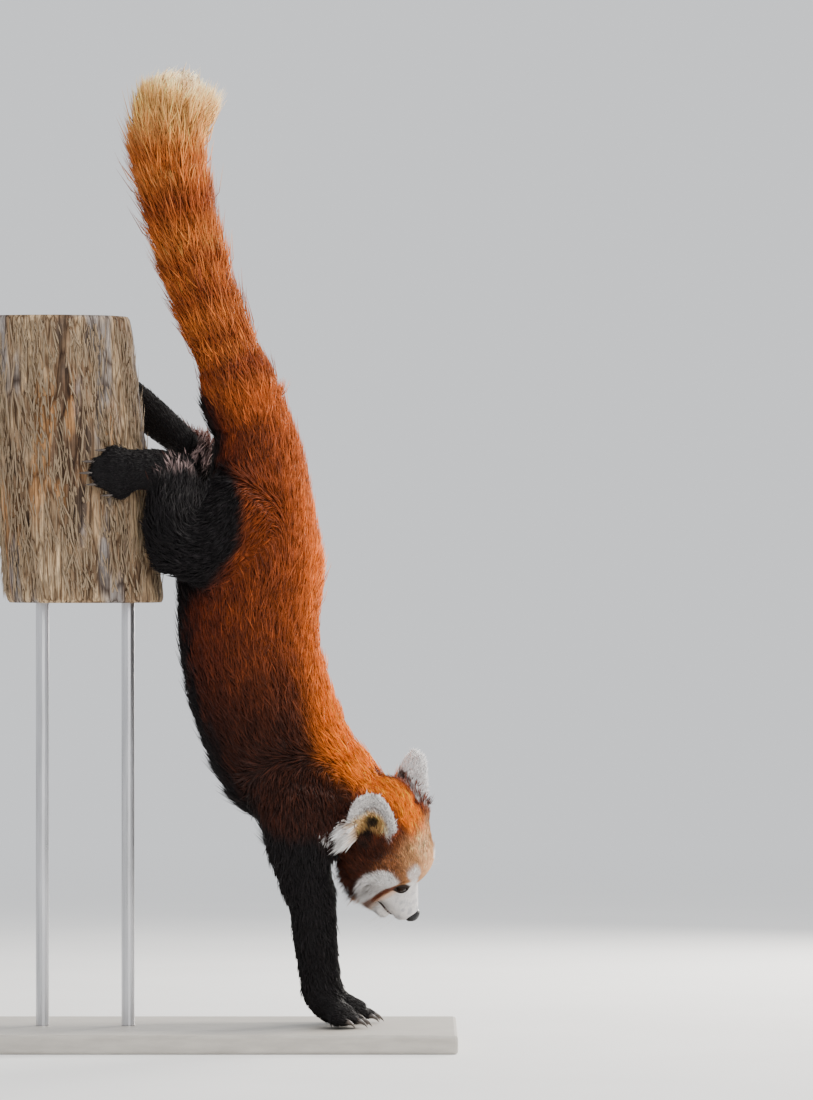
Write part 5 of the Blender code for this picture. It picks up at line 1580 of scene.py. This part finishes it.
def build_claws():
    """Curved, flattened claws that taper to a point."""
    pieces = []
    for tip, ahead, down in toes():
        path, across = claw_path(tip, ahead, down, 12)
        share = np.linspace(0, 1, len(path))
        widths = 0.0018 * (1 - share**1.8) + 0.00012
        heights = 0.0029 * (1 - share**1.5) + 0.00012
        pieces.append(tube("claw", path, tuple(across), widths, heights, segments=10, dome=0.3))
    claws = joined("claws", pieces)
    material, tree, shader = nodes_for("claw_horn")
    texture = textured(tree, 400.0, (1, 1, 0.4))
    colours = ramp(tree, (0.3, (0.040, 0.032, 0.028)), (0.7, (0.120, 0.095, 0.080)))
    tree.links.new(texture.outputs["Fac"], colours.inputs["Fac"])
    tree.links.new(colours.outputs["Color"], shader.inputs["Base Color"])
    shader.inputs["Roughness"].default_value = 0.30
    add_bump(tree, shader, texture.outputs["Fac"], 0.2, 0.0002)
    dressed(shade_smooth(claws), material, None)


def build_whiskers(skin):
    """Long, thin, pale whiskers on both sides of the muzzle and over the eyes."""
    tree = BVHTree.FromObject(skin, bpy.context.evaluated_depsgraph_get())
    dice = np.random.default_rng(21)
    pieces = []
    starts = [(0.010 + 0.003 * j, 0.066 + 0.0035 * i, -0.016 - 0.0045 * j, 0.040) for i in range(3) for j in range(3)]
    starts += [(0.020, 0.050, 0.030, 0.030), (0.024, 0.046, 0.032, 0.026)]
    for x, y, z, length in starts:
        for side in (-1, 1):
            aim = HEAD @ Vector((side * x, y, z))
            hit, normal, _, _ = tree.find_nearest(aim)
            out = np.array(normal)
            sweep = HEAD_TURN @ np.array((side * 0.7, 0.30, -0.25 + 0.3 * dice.normal()))
            way = out * 0.6 + sweep
            way /= np.linalg.norm(way)
            size = length * dice.uniform(0.75, 1.2)
            t = np.linspace(0, 1, 12)[:, None]
            droop = HEAD_TURN @ np.array((0.0, -0.35, -0.10))
            path = np.array(hit) - out * 0.001 + way * size * t + droop * size * t**2
            radii = 0.00015 * (1 - 0.80 * t[:, 0])
            pieces.append(tube("whisker", path, (0.3, 0.9, 0.2), radii, radii, segments=5))
    whiskers = joined("whiskers", pieces)
    material, tree_of, shader = nodes_for("whisker")
    texture = textured(tree_of, 300.0)
    colours = ramp(tree_of, (0.3, (0.62, 0.56, 0.50)), (0.7, (0.86, 0.82, 0.78)))
    tree_of.links.new(texture.outputs["Fac"], colours.inputs["Fac"])
    tree_of.links.new(colours.outputs["Color"], shader.inputs["Base Color"])
    shader.inputs["Roughness"].default_value = 0.35
    dressed(shade_smooth(whiskers), material, None)


def bark_height(turn, share):
    """How far the bark stands proud, from its fibres, cracks and scars. It runs round without a seam."""
    dice = np.random.default_rng(8)
    height = np.zeros_like(turn)
    for waves, size in ((5, 0.7), (11, 0.6), (23, 0.55), (47, 0.5), (88, 0.42), (150, 0.30)):
        for _ in range(2):
            drift = dice.uniform(1.0, 5.0) * dice.choice((-1, 1))
            phase = dice.uniform(0, math.tau)
            wobble = 0.9 * np.sin(dice.uniform(3, 9) * share + dice.uniform(0, math.tau))
            height += size * (1 - 2 * np.abs(np.sin(0.5 * waves * turn + drift * share + wobble + phase)))
    flakes = np.sin(3 * turn + 19 * share) * np.sin(7 * turn - 31 * share + 2.0)
    return height / 5.0 + 0.35 * flakes


def build_trunk():
    """The cut length of trunk: fibrous bark with loose strips, and sawn ends."""
    around, levels = 360, 110
    turn = np.linspace(0, math.tau, around, endpoint=False)[None, :].repeat(levels, 0)
    share = np.linspace(0, 1, levels)[:, None].repeat(around, 1)
    height = bark_height(turn, share)
    z = TRUNK_LOW + (TRUNK_HIGH - TRUNK_LOW) * share
    wave = np.sin(TRUNK_RIDGES * turn + 2.5 * share) + 0.5 * np.sin(23 * turn - 4 * share)
    radius = TRUNK_RADIUS - 0.0012 + TRUNK_RIDGE_DEPTH * 0.6 * wave + 0.0022 * height
    edge = np.minimum(share, 1 - share) * (TRUNK_HIGH - TRUNK_LOW)
    radius -= 0.0025 * np.exp(-edge / 0.0022)
    centre_x = TRUNK_MIDDLE_X + (z - TRUNK_MIDDLE_Z) * TRUNK_LEAN
    spots = np.stack((centre_x + radius * np.cos(turn), radius * np.sin(turn), z), axis=-1)
    faces, kinds = [], []
    for j in range(levels - 1):
        for k in range(around):
            n = (k + 1) % around
            faces.append((j * around + k, j * around + n, (j + 1) * around + n, (j + 1) * around + k))
            kinds.append(0)
    rows = [spots.reshape(-1, 3)]
    for j, way in ((0, -1), (levels - 1, 1)):
        base = len(np.vstack(rows))
        middle = spots[j].mean(axis=0)
        rings = [middle + (spots[j] - middle) * scale for scale in (0.985, 0.8, 0.6, 0.4, 0.2)]
        rings = [ring + np.array((0, 0, way * 0.0002)) for ring in rings]
        rows += rings
        rows.append(middle[None] + np.array((0, 0, way * 0.0002)))
        before = j * around
        for r in range(len(rings)):
            now = base + r * around
            for k in range(around):
                n = (k + 1) % around
                faces.append((before + k, before + n, now + n, now + k))
                kinds.append(1)
            before = now
        last = base + len(rings) * around
        for k in range(around):
            faces.append((before + k, before + (k + 1) % around, last))
            kinds.append(1)
    trunk = outward(mesh_of("perch_bark", np.vstack(rows), faces))
    trunk.data.polygons.foreach_set("material_index", np.array(kinds, np.int32))
    store_tint(trunk.data, bark_colour(coordinates(trunk)))
    dressed(shade_smooth(trunk), (bark_material(), sawn_material()), "bark", "perch_trunk")
    build_shreds(trunk)


def build_shreds(trunk):
    """Loose fibres of bark that lie along the trunk and peel off it."""
    dice = np.random.default_rng(31)
    count = 6200
    turn = dice.uniform(0, math.tau, count)
    way = np.where(dice.random(count) < 0.6, -1.0, 1.0)
    length = 0.006 + 0.030 * dice.random(count) ** 2.5
    room = length + 0.004
    share = dice.random(count)
    low = np.where(way > 0, TRUNK_LOW + 0.002, TRUNK_LOW + room)
    high = np.where(way > 0, TRUNK_HIGH - room, TRUNK_HIGH - 0.002)
    z = low + (high - low) * share
    out = np.column_stack((np.cos(turn), np.sin(turn), np.zeros(count)))
    radius = TRUNK_RADIUS - 0.0012
    x = TRUNK_MIDDLE_X + (z - TRUNK_MIDDLE_Z) * TRUNK_LEAN
    spots = np.column_stack((x, np.zeros(count), z)) + radius * out
    lie = np.column_stack((TRUNK_LEAN * way, np.zeros(count), way))
    lie -= out * (lie * out).sum(1)[:, None]
    lie /= np.linalg.norm(lie, axis=1)[:, None]
    roots = (spots, out, lie, np.zeros(count, int))
    width = 0.0009 + 0.0016 * dice.random(count)
    lift = 1.5 + 11.0 * dice.random(count) ** 3
    shades = {"root_dark": 0.75, "grizzle": 0.38}
    piece = tufts("bark_shreds", roots, ["bark"], length, width, lift, 3, 0.004, 0.4, 0.16, **shades)
    dressed(piece, bpy.data.materials["bark"], "bark")


def build_stand():
    """The solids of the stand keep their shape and get finishes."""
    base = stand_material("base_finish", (0.40, 0.37, 0.33), (0.50, 0.47, 0.42), 0.45, 0.0, (0.2, 1, 1))
    rods = stand_material("rod_finish", (0.45, 0.45, 0.46), (0.66, 0.66, 0.68), 0.28, 1.0, (1, 1, 0.05))
    for name, obj in NODES.items():
        if name.startswith("stand_"):
            obj.data.materials.clear()
            obj.data.materials.append(base if name == "stand_base" else rods)


def build_studio():
    """A pale floor that fades into the background, soft light and the camera at the photo's angle."""
    floor = mesh_of("floor", [(-60, -60, 0), (60, -60, 0), (60, 60, 0), (-60, 60, 0)], [(0, 1, 2, 3)])
    material, tree, shader = nodes_for("floor")
    texture = textured(tree, 3.0)
    colours = ramp(tree, (0.3, (0.80, 0.80, 0.79)), (0.7, (0.84, 0.84, 0.83)))
    tree.links.new(texture.outputs["Fac"], colours.inputs["Fac"])
    tree.links.new(colours.outputs["Color"], shader.inputs["Base Color"])
    shader.inputs["Roughness"].default_value = 0.8
    place = add(tree, "ShaderNodeTexCoord")
    length = add(tree, "ShaderNodeVectorMath", operation="LENGTH")
    tree.links.new(place.outputs["Object"], length.inputs[0])
    fade = add(tree, "ShaderNodeMapRange", interpolation_type="SMOOTHSTEP")
    fade.inputs["From Min"].default_value = 0.8
    fade.inputs["From Max"].default_value = 5.5
    tree.links.new(length.outputs["Value"], fade.inputs["Value"])
    glow = add(tree, "ShaderNodeEmission", Color=(*BACKDROP, 1.0), Strength=BACKDROP_LIGHT)
    blend = add(tree, "ShaderNodeMixShader")
    tree.links.new(fade.outputs["Result"], blend.inputs["Fac"])
    tree.links.new(shader.outputs["BSDF"], blend.inputs[1])
    tree.links.new(glow.outputs["Emission"], blend.inputs[2])
    tree.links.new(blend.outputs["Shader"], tree.nodes["Material Output"].inputs["Surface"])
    floor.data.materials.append(material)
    world = bpy.data.worlds.new("studio")
    bpy.context.scene.world = world
    world.use_nodes = True
    world.node_tree.nodes["Background"].inputs["Color"].default_value = (*BACKDROP, 1.0)
    world.node_tree.nodes["Background"].inputs["Strength"].default_value = BACKDROP_LIGHT
    lamps = (
        ("key", (1.6, 0.4, 2.4), 0.9, 88.0, (1.0, 0.95, 0.88)),
        ("fill", (0.9, -2.8, 1.5), 1.6, 44.0, (1.0, 0.98, 0.96)),
        ("rim", (1.3, 1.9, 0.9), 0.8, 62.0, (1.0, 0.95, 0.88)),
    )
    for name, place, size, power, colour in lamps:
        light = bpy.data.lights.new(name, "AREA")
        light.shape, light.size, light.energy, light.color = "DISK", size, power, colour
        lamp = bpy.data.objects.new(name, light)
        bpy.context.scene.collection.objects.link(lamp)
        lamp.location = place
        lamp.rotation_euler = (Vector((0.03, 0, 0.5)) - Vector(place)).to_track_quat("-Z", "Y").to_euler()
    lens = bpy.data.cameras.new("camera")
    lens.lens, lens.sensor_width = 249.0, 36.0
    lens.clip_start, lens.clip_end = 0.1, 100.0
    camera = bpy.data.objects.new("camera", lens)
    bpy.context.scene.collection.objects.link(camera)
    camera.location = (0.2168, -8.0, 0.52)
    camera.rotation_euler = (math.radians(90), 0, 0)
    bpy.context.scene.camera = camera


build_studio()
skin, eyes = build_skin()
FLESH = [n for n in NODES if not n.startswith(("stand_", "perch", "eye", "nose"))]
build_coat(skin, eyes)
dressed(shade_smooth(skin), skin_material(), "rust", *FLESH)
build_eyes(eyes)
build_nose()
build_mouth(skin)
build_claws()
build_whiskers(skin)
build_trunk()
build_stand()
